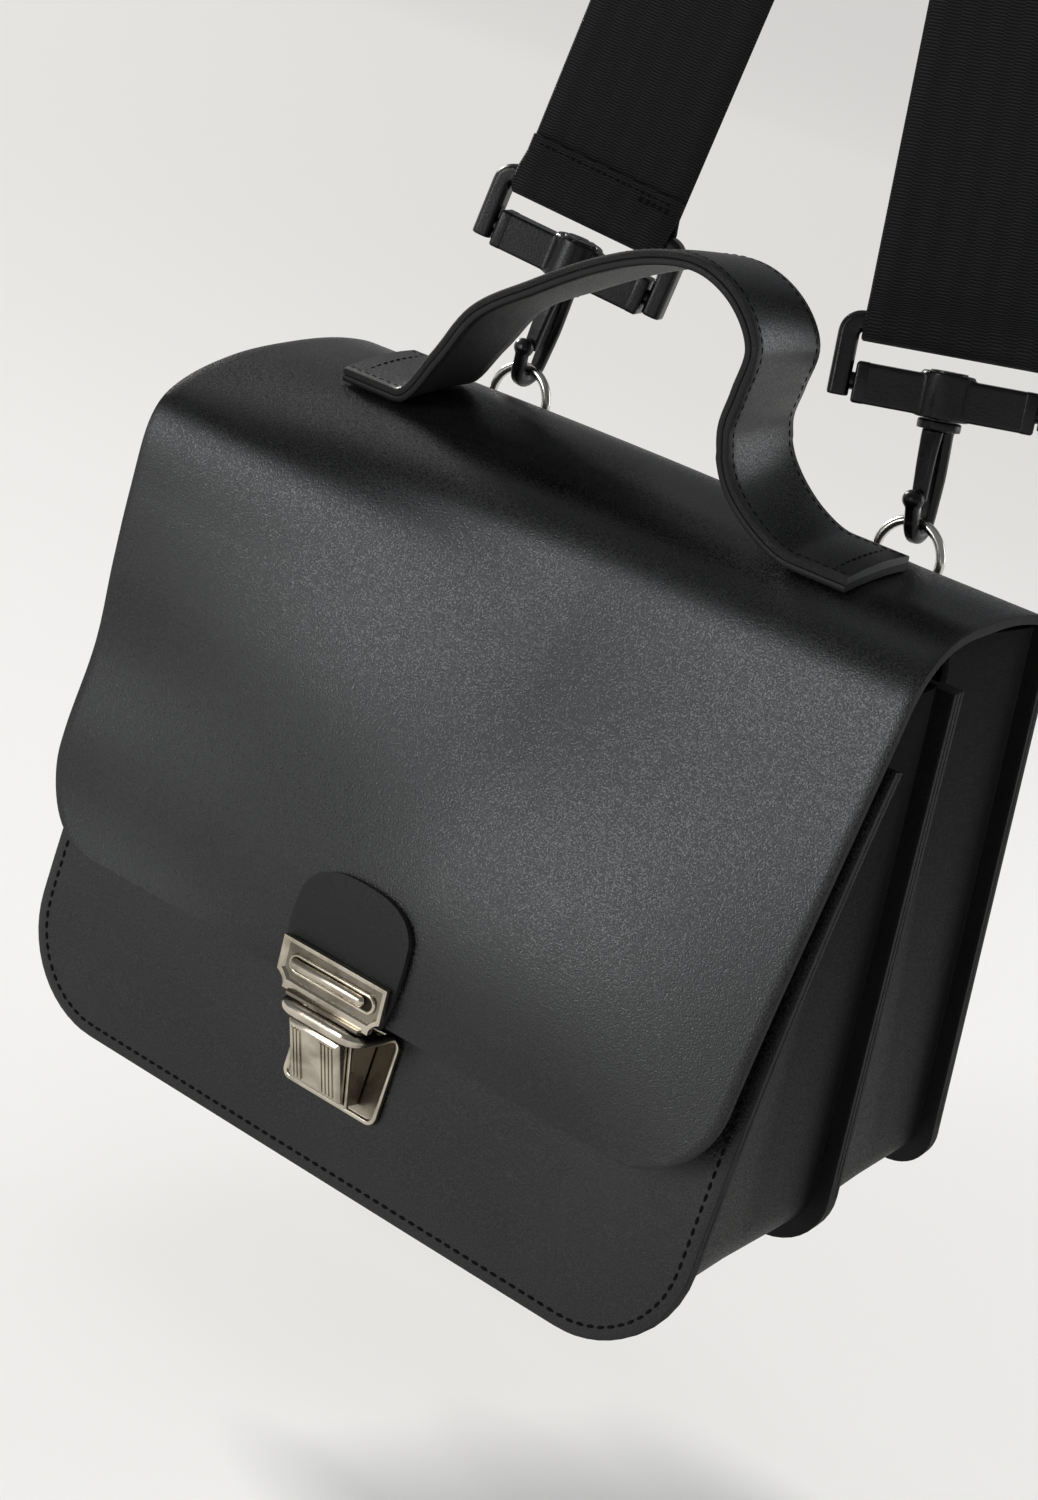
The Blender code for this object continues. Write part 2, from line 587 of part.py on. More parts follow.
# Snap hooks, in a frame whose origin is the middle of the ring's wire and whose +Z runs up the webbing
def build_bail(name, frame):
    reach, bend = BAIL_SPAN / 2, BAIL_SHOULDER
    left = [(-reach, BAIL_FOOT), *arc((bend - reach, BAIL_TOP - bend), bend, math.pi, math.pi / 2, 6)]
    route = left + [(-x, z) for x, z in reversed(left)]
    points = [Vector((x, 0, z)) for x, z in route]
    finish(name, bar(name, points, Vector((0, 1, 0)), BAIL_DEPTH, BAIL_WIDTH), frame, PLASTIC)


def build_crossbar(side, frame):
    name = f"hook_crossbar_{side}"
    reach = BAIL_SPAN / 2 - BAIL_WIDTH / 2 - BAR_END_GAP
    block_mesh = box(name, (-reach, reach), (-BAR_DEPTH / 2, BAR_DEPTH / 2), (BAR_LOW, BAR_LOW + BAR_HEIGHT))
    block = finish(name, block_mesh, frame, PLASTIC)
    hub = turned(f"hub_{side}", HUB_DIAMETER, HUB_LOW, HUB_LOW + HUB_HEIGHT)
    necks = turned(f"necks_{side}", NECK_DIAMETER, -reach - BAR_END_GAP + GAP, reach + BAR_END_GAP - GAP, 12)
    crosswise = Matrix.Translation((0, 0, BAR_LOW + BAR_HEIGHT / 2)) @ Matrix.Rotation(math.pi / 2, 4, "Y")
    necks.transform(crosswise)
    bore = turned(f"hub_bore_{side}", STUD_DIAMETER + 2 * STUD_CLEARANCE, 0.0, HUB_LOW + 2 * HUB_HEIGHT)
    for mesh, operation in ((hub, "UNION"), (necks, "UNION"), (bore, "DIFFERENCE")):
        combine(block, finish(mesh.name, mesh, frame, PLASTIC), operation)


def eye_middle():
    """Height of the middle of the hook's eye above the middle of the ring's wire."""
    return HOOK_EYE_RADIUS - RING_WIRE / 2 - HOOK_SEAT_CLEARANCE


def build_hook(side, frame):
    """Stud, collar, spine and nose in one moulding, with the spine at the back and the nose at the front."""
    name = f"hook_{side}"
    radius, middle = HOOK_EYE_RADIUS + HOOK_BAR / 2, eye_middle()
    collar_low = HUB_LOW - GAP - COLLAR_HEIGHT
    spine = [(SPINE_SHIFT, collar_low + COLLAR_HEIGHT / 2), (0.35 * radius, collar_low - 0.8 * radius),
             (0.8 * radius, middle + 2.6 * radius)]
    bend = arc((0, middle), radius, 0, -math.pi, 10)
    route = [*spine, *bend, (-radius, middle + HOOK_NOSE)]
    points = [Vector((0, y, z)) for y, z in route]
    body = finish(name, bar(name, points, Vector((1, 0, 0)), HOOK_WIDTH, HOOK_BAR, 10), frame, PLASTIC)
    hub_top = HUB_LOW + HUB_HEIGHT
    head_low = hub_top + GAP
    head_top = head_low + STUD_HEAD_HEIGHT
    levels = ((COLLAR_DIAMETER, collar_low), (COLLAR_DIAMETER, HUB_LOW - GAP), (STUD_DIAMETER, HUB_LOW - GAP),
              (STUD_DIAMETER, head_low), (STUD_HEAD_DIAMETER, head_low), (STUD_DIAMETER, head_top))
    sides = 20
    turns = [2 * math.pi * i / sides for i in range(sides)]
    sections = [[Vector((size / 2 * math.cos(turn), size / 2 * math.sin(turn), z)) for turn in turns]
                for size, z in levels]
    stud = finish(f"stud_{side}", loft(f"stud_{side}", sections), frame, PLASTIC)
    combine(body, stud, "UNION")
    cut, wide = STUD_SPLIT / 2, STUD_HEAD_DIAMETER
    for axis, x, y in (("x", wide, cut), ("y", cut, wide)):
        label = f"stud_split_{axis}_{side}"
        slot = box(label, (-x, x), (-y, y), (head_low - STUD_HEAD_HEIGHT, head_top + STUD_HEAD_HEIGHT))
        combine(body, finish(label, slot, frame, PLASTIC), "DIFFERENCE")


def gate_pivot():
    """Place of the gate's bend, under the front of the collar."""
    collar_low = HUB_LOW - GAP - COLLAR_HEIGHT
    return Vector((0, -GATE_SETOUT, collar_low - GAP))


def build_gate(name, frame):
    """Springy tongue that closes the eye; the frame lies on its bend axis."""
    pivot = gate_pivot()
    nose_top = eye_middle() + HOOK_NOSE + NOSE_CLEARANCE
    nose_y = -HOOK_EYE_RADIUS - HOOK_BAR / 2
    knob = GATE_KNOB / 2
    route = [(pivot.y, pivot.z), (pivot.y - 0.25 * (pivot.y - nose_y), pivot.z - 0.4 * (pivot.z - nose_top)),
             (nose_y, nose_top + 2 * knob), (nose_y, nose_top + knob), (nose_y, nose_top)]
    sizes = (GATE_THICKNESS, GATE_THICKNESS, GATE_THICKNESS, GATE_KNOB, GATE_TIP)
    points = [Vector((0, y, z)) - pivot for y, z in route]
    sections, sides = [], 8
    for point, along, size in zip(points, tangents(points), sizes):
        normal = along.cross(Vector((1, 0, 0))).normalized()
        if point is points[0] or point is points[-1]:
            normal = Vector((0, -1, 0))
        ring = []
        for i in range(sides):
            turn = 2 * math.pi * (i + 0.5) / sides
            ring.append(point + Vector((GATE_WIDTH / 2 * math.cos(turn), 0, 0))
                        + normal * (size / 2 * math.sin(turn)))
        sections.append(ring)
    finish(name, loft(name, sections), frame, PLASTIC)


# Strap
def run_lean():
    """Angle of a webbing run from upright, where it runs straight from its hook to the side of the peg."""
    radius = PEG_RADIUS + WEBBING_THICKNESS / 2
    across, down = RING_SPACING / 2, STRAP_DROP - PEG_RADIUS
    return math.atan2(across, down) - math.asin(radius / math.hypot(across, down))


def run_matrix(side, twist):
    """Frame of a hook, at the ring's seat with +Z up its run, turned by twist about it; side is -1 or 1."""
    place = Matrix.Translation((side * RING_SPACING / 2, 0, -STRAP_DROP))
    return place @ Matrix.Rotation(-side * run_lean(), 4, "Y") @ Matrix.Rotation(twist, 4, "Z")


def strap_end(hem_side):
    """Points (n, z) of the webbing's sewn end round the bail's bar, from the hem up to the single run."""
    bend = BAIL_DEPTH / 2 + GAP + WEBBING_THICKNESS / 2
    layer = WEBBING_THICKNESS + GAP
    join = BAIL_TOP + 2.4 * bend
    hem = [(layer, join + HEM_LENGTH), (layer, join + HEM_LENGTH / 2), (layer, join)]
    under = arc((0, BAIL_TOP), bend, 0, -math.pi, 10)
    rise = [(-0.75 * bend, BAIL_TOP + 1.1 * bend), (0, join)]
    route = [*hem, (1.05 * bend, BAIL_TOP + 1.2 * bend), *under, *rise]
    return [(hem_side * n, z) for n, z in route]


def run_points(side, twist, hem_side):
    """Points and width directions of one webbing run, from its hem to the peg."""
    radius = PEG_RADIUS + WEBBING_THICKNESS / 2
    straight = math.sqrt((RING_SPACING / 2)**2 + (STRAP_DROP - PEG_RADIUS)**2 - radius**2)
    route = [(n, z, twist) for n, z in strap_end(hem_side)]
    start, steps = TWIST_START, 24
    for i in range(steps + 1):
        share = i / steps
        ease = share * share * (3 - 2 * share)
        route.append((0.0, start + (straight - start) * share, twist + (math.pi / 2 - twist) * ease))
    base = run_matrix(side, 0.0)
    points, widths = [], []
    for n, z, turn in route:
        across = Vector((math.cos(turn), math.sin(turn), 0))
        normal = Vector((-math.sin(turn), math.cos(turn), 0))
        points.append(base @ (normal * n + Vector((0, 0, z))))
        widths.append(base.to_3x3() @ across)
    return points, widths


def build_webbing(frame):
    left_points, left_widths = run_points(-1, HOOK_TWISTS[0], -1)
    right_points, right_widths = run_points(1, HOOK_TWISTS[1], 1)
    radius = PEG_RADIUS + WEBBING_THICKNESS / 2
    lean = run_lean()
    crown = arc((0, -PEG_RADIUS), radius, math.pi - lean, lean, 10)[1:-1]
    points = left_points + [Vector((x, 0, z)) for x, z in crown] + list(reversed(right_points))
    widths = left_widths + [Vector((0, 1, 0))] * len(crown) + list(reversed(right_widths))
    mesh = ribbon("strap_webbing", points, widths, WEBBING_WIDTH, WEBBING_THICKNESS)
    finish("strap_webbing", mesh, frame, WEBBING)


def build_strap():
    strap = make_frame("strap_frame", None, Matrix.Identity(4))
    build_webbing(strap)
    for side, name, twist in ((-1, "left", HOOK_TWISTS[0]), (1, "right", HOOK_TWISTS[1])):
        turned_frame = make_frame(f"bail_frame_{name}", strap, run_matrix(side, twist))
        build_bail(f"hook_bail_{name}", turned_frame)
        build_crossbar(name, turned_frame)
        hook_frame = make_frame(f"hook_frame_{name}", strap, run_matrix(side, 0.0))
        build_hook(name, hook_frame)
        gate_frame = make_frame(f"gate_frame_{name}", hook_frame, Matrix.Translation(gate_pivot()))
        build_gate(f"hook_gate_{name}", gate_frame)
    return strap


def build_bag(strap):
    seat = make_frame("ring_frame", strap, Matrix.Translation((0, 0, -STRAP_DROP)))
    for side, name in ((-1, "left"), (1, "right")):
        build_ring(f"d_ring_{name}", seat, side * RING_SPACING / 2)
    hinge = Matrix.Translation((0, 0, -RING_HEIGHT)) @ Matrix.Rotation(BAG_LEAN, 4, "X")
    hang = make_frame("bag_hinge", seat, hinge)
    bag = make_frame("bag_frame", hang, Matrix.Translation((0, -keeper_depth(), -KEEPER_HEIGHT)))
    _, place = build_panels(bag)
    for side, name in ((-1, "left"), (1, "right")):
        build_keeper(f"ring_keeper_{name}", bag, side * RING_SPACING / 2)

    top_frame = make_frame("flap_top_frame", bag, Matrix.Translation((0, 0, BACK_HEIGHT)))
    build_flap_top(top_frame)
    build_handle(top_frame)
    fold = fold_point() - Vector((0, 0, BACK_HEIGHT))
    front_frame = make_frame("flap_front_frame", top_frame, Matrix.Translation(fold))
    build_flap_front(front_frame)
    build_hasp(front_frame)

    step = PLATE_HEIGHT / 4
    up = (place(0, LOCK_HEIGHT + step, 0) - place(0, LOCK_HEIGHT - step, 0)).normalized()
    out = Vector((1, 0, 0)).cross(up)
    seat_matrix = Matrix((Vector((1, 0, 0)), up, out)).transposed().to_4x4()
    lock = make_frame("lock_frame", bag, Matrix.Translation(place(0, LOCK_HEIGHT, 0)) @ seat_matrix)
    button = make_frame("lock_button_frame", lock, Matrix.Identity(4))
    build_lock(lock, button)


clear_scene()
build_bag(build_strap())
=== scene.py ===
"""Black leather satchel on a webbing shoulder strap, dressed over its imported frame.

Lengths are in metres. The bag's own space has its origin at the middle of the back panel's lower edge, x to the
right, y to the back and z up the back panel, and it leans with the hanging bag.
"""
import json
import logging
import math
from dataclasses import dataclass
from enum import Enum
from functools import cached_property
from typing import Any, Callable, Sequence

import bpy
from mathutils import Matrix, Vector


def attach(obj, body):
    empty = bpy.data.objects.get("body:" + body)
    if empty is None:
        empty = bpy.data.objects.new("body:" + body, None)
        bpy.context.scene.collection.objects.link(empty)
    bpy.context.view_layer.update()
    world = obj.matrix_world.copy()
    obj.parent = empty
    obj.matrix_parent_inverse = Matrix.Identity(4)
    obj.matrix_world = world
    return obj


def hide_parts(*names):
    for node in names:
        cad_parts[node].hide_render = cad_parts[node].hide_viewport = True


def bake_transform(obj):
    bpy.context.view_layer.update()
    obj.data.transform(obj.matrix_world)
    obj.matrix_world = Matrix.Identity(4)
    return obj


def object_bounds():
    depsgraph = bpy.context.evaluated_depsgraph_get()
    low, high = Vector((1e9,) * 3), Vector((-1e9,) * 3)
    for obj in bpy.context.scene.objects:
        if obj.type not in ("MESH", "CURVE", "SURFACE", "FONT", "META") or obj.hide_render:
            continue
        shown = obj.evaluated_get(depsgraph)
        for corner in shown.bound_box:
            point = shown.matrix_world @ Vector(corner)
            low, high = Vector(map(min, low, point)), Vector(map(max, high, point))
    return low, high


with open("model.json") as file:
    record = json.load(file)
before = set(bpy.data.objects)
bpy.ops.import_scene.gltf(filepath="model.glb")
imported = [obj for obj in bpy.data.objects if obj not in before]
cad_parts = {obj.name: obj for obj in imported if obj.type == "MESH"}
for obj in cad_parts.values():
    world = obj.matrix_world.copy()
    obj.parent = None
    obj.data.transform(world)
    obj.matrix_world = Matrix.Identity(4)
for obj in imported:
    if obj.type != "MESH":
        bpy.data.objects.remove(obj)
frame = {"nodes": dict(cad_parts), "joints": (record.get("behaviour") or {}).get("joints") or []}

LOG = logging.getLogger("satchel")
CAD_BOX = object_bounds()
GAP = 0.0003
PHOTO_HEIGHT = 1500


class Shade:
    """A value in a material's nodes that takes part in Python sums."""

    def __init__(self, surface: "Surface", socket: bpy.types.NodeSocket) -> None:
        """Keeps the socket and the surface that it belongs to."""
        self.surface = surface
        self.socket = socket

    def maths(self, operation: str, first: Any, second: Any = 0.0) -> "Shade":
        """Adds a Math node.

        Args:
            operation: the Math node's operation.
            first: its first value.
            second: its second value.

        Returns:
            The node's value.
        """
        return self.surface.node("ShaderNodeMath", {"operation": operation}, {0: first, 1: second})

    def __add__(self, other: Any) -> "Shade":
        """Sum."""
        return self.maths("ADD", self, other)

    def __sub__(self, other: Any) -> "Shade":
        """Difference."""
        return self.maths("SUBTRACT", self, other)

    def __rsub__(self, other: Any) -> "Shade":
        """Difference from a number."""
        return self.maths("SUBTRACT", other, self)

    def __mul__(self, other: Any) -> "Shade":
        """Product."""
        return self.maths("MULTIPLY", self, other)

    __radd__ = __add__
    __rmul__ = __mul__

    def wave(self, pitch: float) -> "Shade":
        """Wave from 0 to 1 along a length, with the given pitch."""
        return self.maths("SINE", self * (2 * math.pi / pitch)) * 0.5 + 0.5

    def within(self, low: float, high: float) -> "Shade":
        """Share from 0 at low to 1 at high, eased at both ends."""
        settings = {"interpolation_type": "SMOOTHSTEP"}
        return self.surface.node("ShaderNodeMapRange", settings, {0: self, 1: low, 2: high})


class Surface:
    """A material under a Principled shader."""

    def __init__(self, name: str) -> None:
        """Starts a plain material.

        Args:
            name: the material's name.
        """
        self.material = bpy.data.materials.new(name)
        self.material.use_nodes = True
        self.tree = self.material.node_tree
        self.shader = self.tree.nodes["Principled BSDF"]

    def node(self, kind: str, settings: dict | None = None, inputs: dict | None = None, output: Any = 0) -> Shade:
        """Adds a node.

        Args:
            kind: the node's type.
            settings: its properties, set first.
            inputs: its sockets' values or links.
            output: the output to return.

        Returns:
            The chosen output.
        """
        made = self.tree.nodes.new(kind)
        for key, value in (settings or {}).items():
            setattr(made, key, value)
        for key, value in (inputs or {}).items():
            self.feed(made.inputs[key], value)
        return Shade(self, made.outputs[output])

    def feed(self, socket: bpy.types.NodeSocket, value: Any) -> None:
        """Links a shade to a socket, or sets its value.

        Args:
            socket: a node's input.
            value: a shade or a value.
        """
        if isinstance(value, Shade):
            self.tree.links.new(value.socket, socket)
        else:
            socket.default_value = value

    def place(self, kind: str = "Object") -> Shade:
        """The piece's own coordinates: Object or UV."""
        return self.node("ShaderNodeTexCoord", output=kind)

    def noise(self, place: Shade, scale: float, detail: float = 3.0, twist: float = 0.0) -> Shade:
        """Soft noise from 0 to 1, with scale in features per metre."""
        return self.node("ShaderNodeTexNoise", None,
                         {"Vector": place, "Scale": scale, "Detail": detail, "Distortion": twist})

    def cells(self, place: Shade, scale: float) -> Shade:
        """Distance to the middle of the nearest cell."""
        return self.node("ShaderNodeTexVoronoi", None, {"Vector": place, "Scale": scale}, "Distance")

    def blend(self, share: Shade, first: Sequence[float], second: Sequence[float]) -> Shade:
        """Colour between two colours."""
        return self.node("ShaderNodeMix", {"data_type": "RGBA"}, {0: share, 6: (*first, 1.0), 7: (*second, 1.0)}, 2)

    def bump(self, height: Shade, depth: float, strength: float = 1.0) -> Shade:
        """Normal from a height, with depth in metres."""
        return self.node("ShaderNodeBump", None, {"Height": height, "Distance": depth, "Strength": strength})

    def set(self, **values: Any) -> bpy.types.Material:
        """Sets the shader's sockets by name, with underscores for spaces.

        Args:
            values: socket values or links.

        Returns:
            The material.
        """
        for key, value in values.items():
            self.feed(self.shader.inputs[key.replace("_", " ")], value)
        return self.material


@dataclass(frozen=True)
class GrainedLeather:
    """Finely grained leather with a soft, uneven sheen."""

    name: str
    dark: tuple[float, float, float] = (0.0025, 0.0025, 0.0027)
    light: tuple[float, float, float] = (0.0185, 0.0187, 0.0200)
    roughness: float = 0.22
    gloss: float = 0.35
    grain: float = 2000.0
    depth: float = 0.00007

    def make(self) -> bpy.types.Material:
        """Builds the material.

        Returns:
            The material.
        """
        surface = Surface(self.name)
        place = surface.place()
        pebbles = surface.cells(place, self.grain)
        speckle = surface.noise(place, self.grain * 1.1, 2.0)
        cloud = surface.noise(place, 24.0, 4.0, 0.4)
        crease = surface.noise(place, 120.0, 5.0, 1.2)
        height = speckle * 0.9 - pebbles * 0.6 + crease * 0.10
        tone = cloud.within(0.3, 0.75) * 0.25 + speckle.within(0.50, 0.66) * 0.75
        rough = self.roughness + cloud * 0.08 + speckle.within(0.38, 0.62) * 0.20
        return surface.set(Base_Color=surface.blend(tone, self.dark, self.light), Roughness=rough,
                           Specular_IOR_Level=self.gloss, Normal=surface.bump(height, self.depth, 0.9))


@dataclass(frozen=True)
class RawEdge:
    """Cut leather edge with suede fibres."""

    name: str
    dark: tuple[float, float, float] = (0.008, 0.0078, 0.0075)
    light: tuple[float, float, float] = (0.045, 0.043, 0.040)

    def make(self) -> bpy.types.Material:
        """Builds the material.

        Returns:
            The material.
        """
        surface = Surface(self.name)
        place = surface.place()
        fibre = surface.noise(place, 2600.0, 4.0, 1.0)
        patch = surface.noise(place, 160.0, 3.0)
        share = fibre.within(0.45, 0.8) * patch.within(0.3, 0.7)
        return surface.set(Base_Color=surface.blend(share, self.dark, self.light), Roughness=0.9,
                           Normal=surface.bump(fibre, 0.0005))


@dataclass(frozen=True)
class RibbedWebbing:
    """Webbing with fine cross ribs in lengthwise bands; its UV map is in metres, across and along."""

    name: str
    dark: tuple[float, float, float] = (0.0022, 0.0022, 0.0024)
    light: tuple[float, float, float] = (0.0200, 0.0200, 0.0206)
    rib: float = 0.00088
    band: float = 0.0080

    def make(self) -> bpy.types.Material:
        """Builds the material.

        Returns:
            The material.
        """
        surface = Surface(self.name)
        apart = surface.node("ShaderNodeSeparateXYZ", None, {0: surface.place("UV")})
        across, along = apart, Shade(surface, apart.socket.node.outputs[1])
        stripe = across.wave(self.band)
        ribs = (along + stripe.within(0.42, 0.58) * (self.rib * 0.5)).wave(self.rib)
        yarn = surface.noise(surface.place(), 2400.0, 2.0)
        height = ribs * (stripe * 0.3 + 0.7) + yarn * 0.4
        # Lighter on the rib tops and darker in the grooves between them: partly the ribs' own pattern, partly painted
        # shade in the grooves.
        tone = height.within(0.35, 1.3)
        return surface.set(Base_Color=surface.blend(tone, self.dark, self.light), Roughness=0.85 - ribs * 0.12,
                           Specular_IOR_Level=0.25, Normal=surface.bump(height, 0.0004, 0.9))


@dataclass(frozen=True)
class MouldedPlastic:
    """Black moulded plastic, a little scuffed."""

    name: str
    dark: tuple[float, float, float] = (0.0018, 0.0018, 0.0020)
    light: tuple[float, float, float] = (0.0055, 0.0055, 0.0058)

    def make(self) -> bpy.types.Material:
        """Builds the material.

        Returns:
            The material.
        """
        surface = Surface(self.name)
        place = surface.place()
        skin = surface.noise(place, 1500.0, 3.0)
        scuff = surface.noise(place, 210.0, 5.0, 1.0)
        return surface.set(Base_Color=surface.blend(scuff.within(0.45, 0.8), self.dark, self.light),
                           Roughness=0.20 + scuff * 0.22, Specular_IOR_Level=0.3, Normal=surface.bump(skin, 0.00008))


@dataclass(frozen=True)
class AgedNickel:
    """Warm nickel plate, a little worn and clouded."""

    name: str
    bright: tuple[float, float, float] = (0.54, 0.49, 0.405)
    dull: tuple[float, float, float] = (0.27, 0.235, 0.18)
    roughness: float = 0.17

    def make(self) -> bpy.types.Material:
        """Builds the material.

        Returns:
            The material.
        """
        surface = Surface(self.name)
        place = surface.place()
        cloud = surface.noise(place, 90.0, 3.0, 0.5)
        fine = surface.noise(place, 1500.0, 4.0)
        share = cloud.within(0.35, 0.70) * 0.85 + fine.within(0.5, 0.8) * 0.15
        return surface.set(Base_Color=surface.blend(share, self.bright, self.dull), Metallic=1.0,
                           Roughness=self.roughness + share * 0.14, Normal=surface.bump(fine, 0.00001))


@dataclass(frozen=True)
class WaxedThread:
    """Black waxed sewing thread."""

    name: str
    dark: tuple[float, float, float] = (0.0008, 0.0008, 0.0008)
    light: tuple[float, float, float] = (0.0032, 0.0032, 0.0032)

    def make(self) -> bpy.types.Material:
        """Builds the material.

        Returns:
            The material.
        """
        surface = Surface(self.name)
        strand = surface.noise(surface.place(), 3200.0, 2.0)
        return surface.set(Base_Color=surface.blend(strand, self.dark, self.light), Roughness=0.8,
                           Specular_IOR_Level=0.12, Normal=surface.bump(strand, 0.0002))


class Finish(Enum):
    """The satchel's finishes."""

    LEATHER = GrainedLeather("black_leather")
    MATT_LEATHER = GrainedLeather("matt_leather", (0.0045, 0.0045, 0.0045), (0.011, 0.011, 0.011), 0.42, 0.25, 2100.0,
                                  0.00005)
    HANDLE_LEATHER = GrainedLeather("handle_leather", roughness=0.28, gloss=0.6, depth=0.00005)
    # Darker, matter copy of the leather for the side strips: painted shade on the sides.
    SIDE_LEATHER = GrainedLeather("side_leather", (0.0025, 0.0025, 0.0025), (0.007, 0.007, 0.007), 0.44, 0.2, 1700.0)
    SUEDE = RawEdge("suede_edge")
    WEBBING = RibbedWebbing("ribbed_webbing")
    PLASTIC = MouldedPlastic("black_plastic")
    NICKEL = AgedNickel("aged_nickel")
    # Darker copy of the nickel for recess floors and the housing's walls: painted shade.
    SHADED = AgedNickel("painted_shade_nickel", (0.24, 0.21, 0.168), (0.11, 0.094, 0.074), 0.22)
    # Near-black nickel for the sheet in the strike plate's slot: painted shadow in the slot.
    TARNISH = AgedNickel("painted_slot_shadow", (0.030, 0.026, 0.021), (0.012, 0.010, 0.008), 0.42)
    WIRE = AgedNickel("bright_wire", (0.68, 0.66, 0.61), (0.46, 0.44, 0.40), 0.16)
    THREAD = WaxedThread("waxed_thread")


class Wardrobe:
    """Finishes as materials, each made once."""

    def __init__(self) -> None:
        """Makes every finish."""
        self.materials = {finish: finish.value.make() for finish in Finish}

    def dress(self, item: bpy.types.Object, *finishes: Finish) -> None:
        """Gives an object its finishes, one for each material slot.

        Args:
            item: the object.
            finishes: its finishes, in the order of its slots.
        """
        faces = item.data.polygons
        indices = [min(face.material_index, len(finishes) - 1) for face in faces]
        item.data.materials.clear()
        for finish in finishes:
            item.data.materials.append(self.materials[finish])
        faces.foreach_set("material_index", indices)


class Bench:
    """Mesh tools that work as by hand, on one selected object."""

    @staticmethod
    def clear() -> None:
        """Deselects everything."""
        bpy.ops.object.select_all(action="DESELECT")

    @staticmethod
    def pick(item: bpy.types.Object) -> None:
        """Selects one object and makes it active.

        Args:
            item: the object.
        """
        Bench.clear()
        item.select_set(True)
        bpy.context.view_layer.objects.active = item

    @staticmethod
    def named(name: str) -> bpy.types.Object:
        """Applies the place of the primitive that was just added, and names it.

        Args:
            name: the object's name.

        Returns:
            The object.
        """
        bpy.ops.object.transform_apply(location=True, rotation=True, scale=True)
        item = bpy.context.object
        item.name = item.data.name = name
        return item

    @staticmethod
    def linked(name: str, data: bpy.types.ID) -> bpy.types.Object:
        """Adds an object to the scene.

        Args:
            name: the object's name.
            data: its mesh, curve, lamp or camera.

        Returns:
            The object.
        """
        item = bpy.data.objects.new(name, data)
        bpy.context.scene.collection.objects.link(item)
        return item

    @staticmethod
    def change(item: bpy.types.Object, kind: str, **settings: Any) -> None:
        """Adds a modifier and applies it.

        Args:
            item: the object.
            kind: the modifier's type.
            settings: its properties.
        """
        Bench.pick(item)
        modifier = item.modifiers.new(kind, kind)
        for key, value in settings.items():
            setattr(modifier, key, value)
        bpy.ops.object.modifier_apply(modifier=modifier.name)

    @staticmethod
    def smooth(item: bpy.types.Object, degrees: float = 40.0) -> None:
        """Shades an object smooth, with sharp edges over an angle."""
        Bench.pick(item)
        bpy.ops.object.shade_smooth_by_angle(angle=math.radians(degrees))

    @staticmethod
    def outward(item: bpy.types.Object) -> None:
        """Turns an object's faces outwards.

        Args:
            item: the object.
        """
        Bench.pick(item)
        bpy.ops.object.mode_set(mode="EDIT")
        bpy.ops.mesh.select_all(action="SELECT")
        bpy.ops.mesh.normals_make_consistent(inside=False)
        Bench.done()

    @staticmethod
    def choose(item: bpy.types.Object, kind: str, test: Callable[[Vector, Vector], bool]) -> None:
        """Opens an object in edit mode with chosen parts selected.

        Args:
            item: the object.
            kind: VERT, EDGE or FACE.
            test: tells from a part's middle, and its direction or normal, whether it is selected.
        """
        Bench.pick(item)
        bpy.ops.object.mode_set(mode="EDIT")
        bpy.ops.mesh.select_mode(type=kind)
        bpy.ops.mesh.select_all(action="DESELECT")
        bpy.ops.object.mode_set(mode="OBJECT")
        mesh = item.data
        if kind == "FACE":
            for face in mesh.polygons:
                face.select = test(face.center, face.normal)
        elif kind == "EDGE":
            for edge in mesh.edges:
                first, second = (mesh.vertices[i].co for i in edge.vertices)
                edge.select = test((first + second) / 2, (second - first).normalized())
        else:
            for vertex in mesh.vertices:
                vertex.select = test(vertex.co, vertex.normal)
        bpy.ops.object.mode_set(mode="EDIT")

    @staticmethod
    def mark(item: bpy.types.Object, slot: int, test: Callable[[Vector, Vector], bool]) -> None:
        """Gives chosen faces a material slot.

        Args:
            item: the object.
            slot: number of the material slot.
            test: tells from a face's middle and normal whether it is chosen.
        """
        for face in item.data.polygons:
            if test(face.center, face.normal):
                face.material_index = slot

    @staticmethod
    def grid(name: str, across: int, along: int, place: Callable[[float, float], Vector]) -> bpy.types.Object:
        """Sheet of faces.

        Args:
            name: the object's name.
            across: faces across.
            along: faces along.
            place: turns (u, v), each from -1 to 1, into a point.

        Returns:
            The sheet.
        """
        Bench.clear()
        bpy.ops.mesh.primitive_grid_add(x_subdivisions=across, y_subdivisions=along, size=2.0)
        item = Bench.named(name)
        for vertex in item.data.vertices:
            vertex.co = place(vertex.co.x, vertex.co.y)
        return item

    @staticmethod
    def block(name: str, low: Sequence[float], high: Sequence[float]) -> bpy.types.Object:
        """Box between two corners, to be shaped further.

        Args:
            name: the object's name.
            low: the lowest corner.
            high: the highest corner.

        Returns:
            The box.
        """
        Bench.clear()
        middle = [(a + b) / 2 for a, b in zip(low, high)]
        bpy.ops.mesh.primitive_cube_add(size=1.0, location=middle, scale=[b - a for a, b in zip(low, high)])
        return Bench.named(name)

    @staticmethod
    def turned(name: str, radius: float, low: float, high: float, sides: int = 40) -> bpy.types.Object:
        """Upright cylinder between two heights, to be shaped further.

        Args:
            name: the object's name.
            radius: its radius.
            low: height of its foot.
            high: height of its top.
            sides: number of sides.

        Returns:
            The cylinder.
        """
        Bench.clear()
        bpy.ops.mesh.primitive_cylinder_add(vertices=sides, radius=radius, depth=high - low,
                                            location=(0, 0, (low + high) / 2))
        return Bench.named(name)

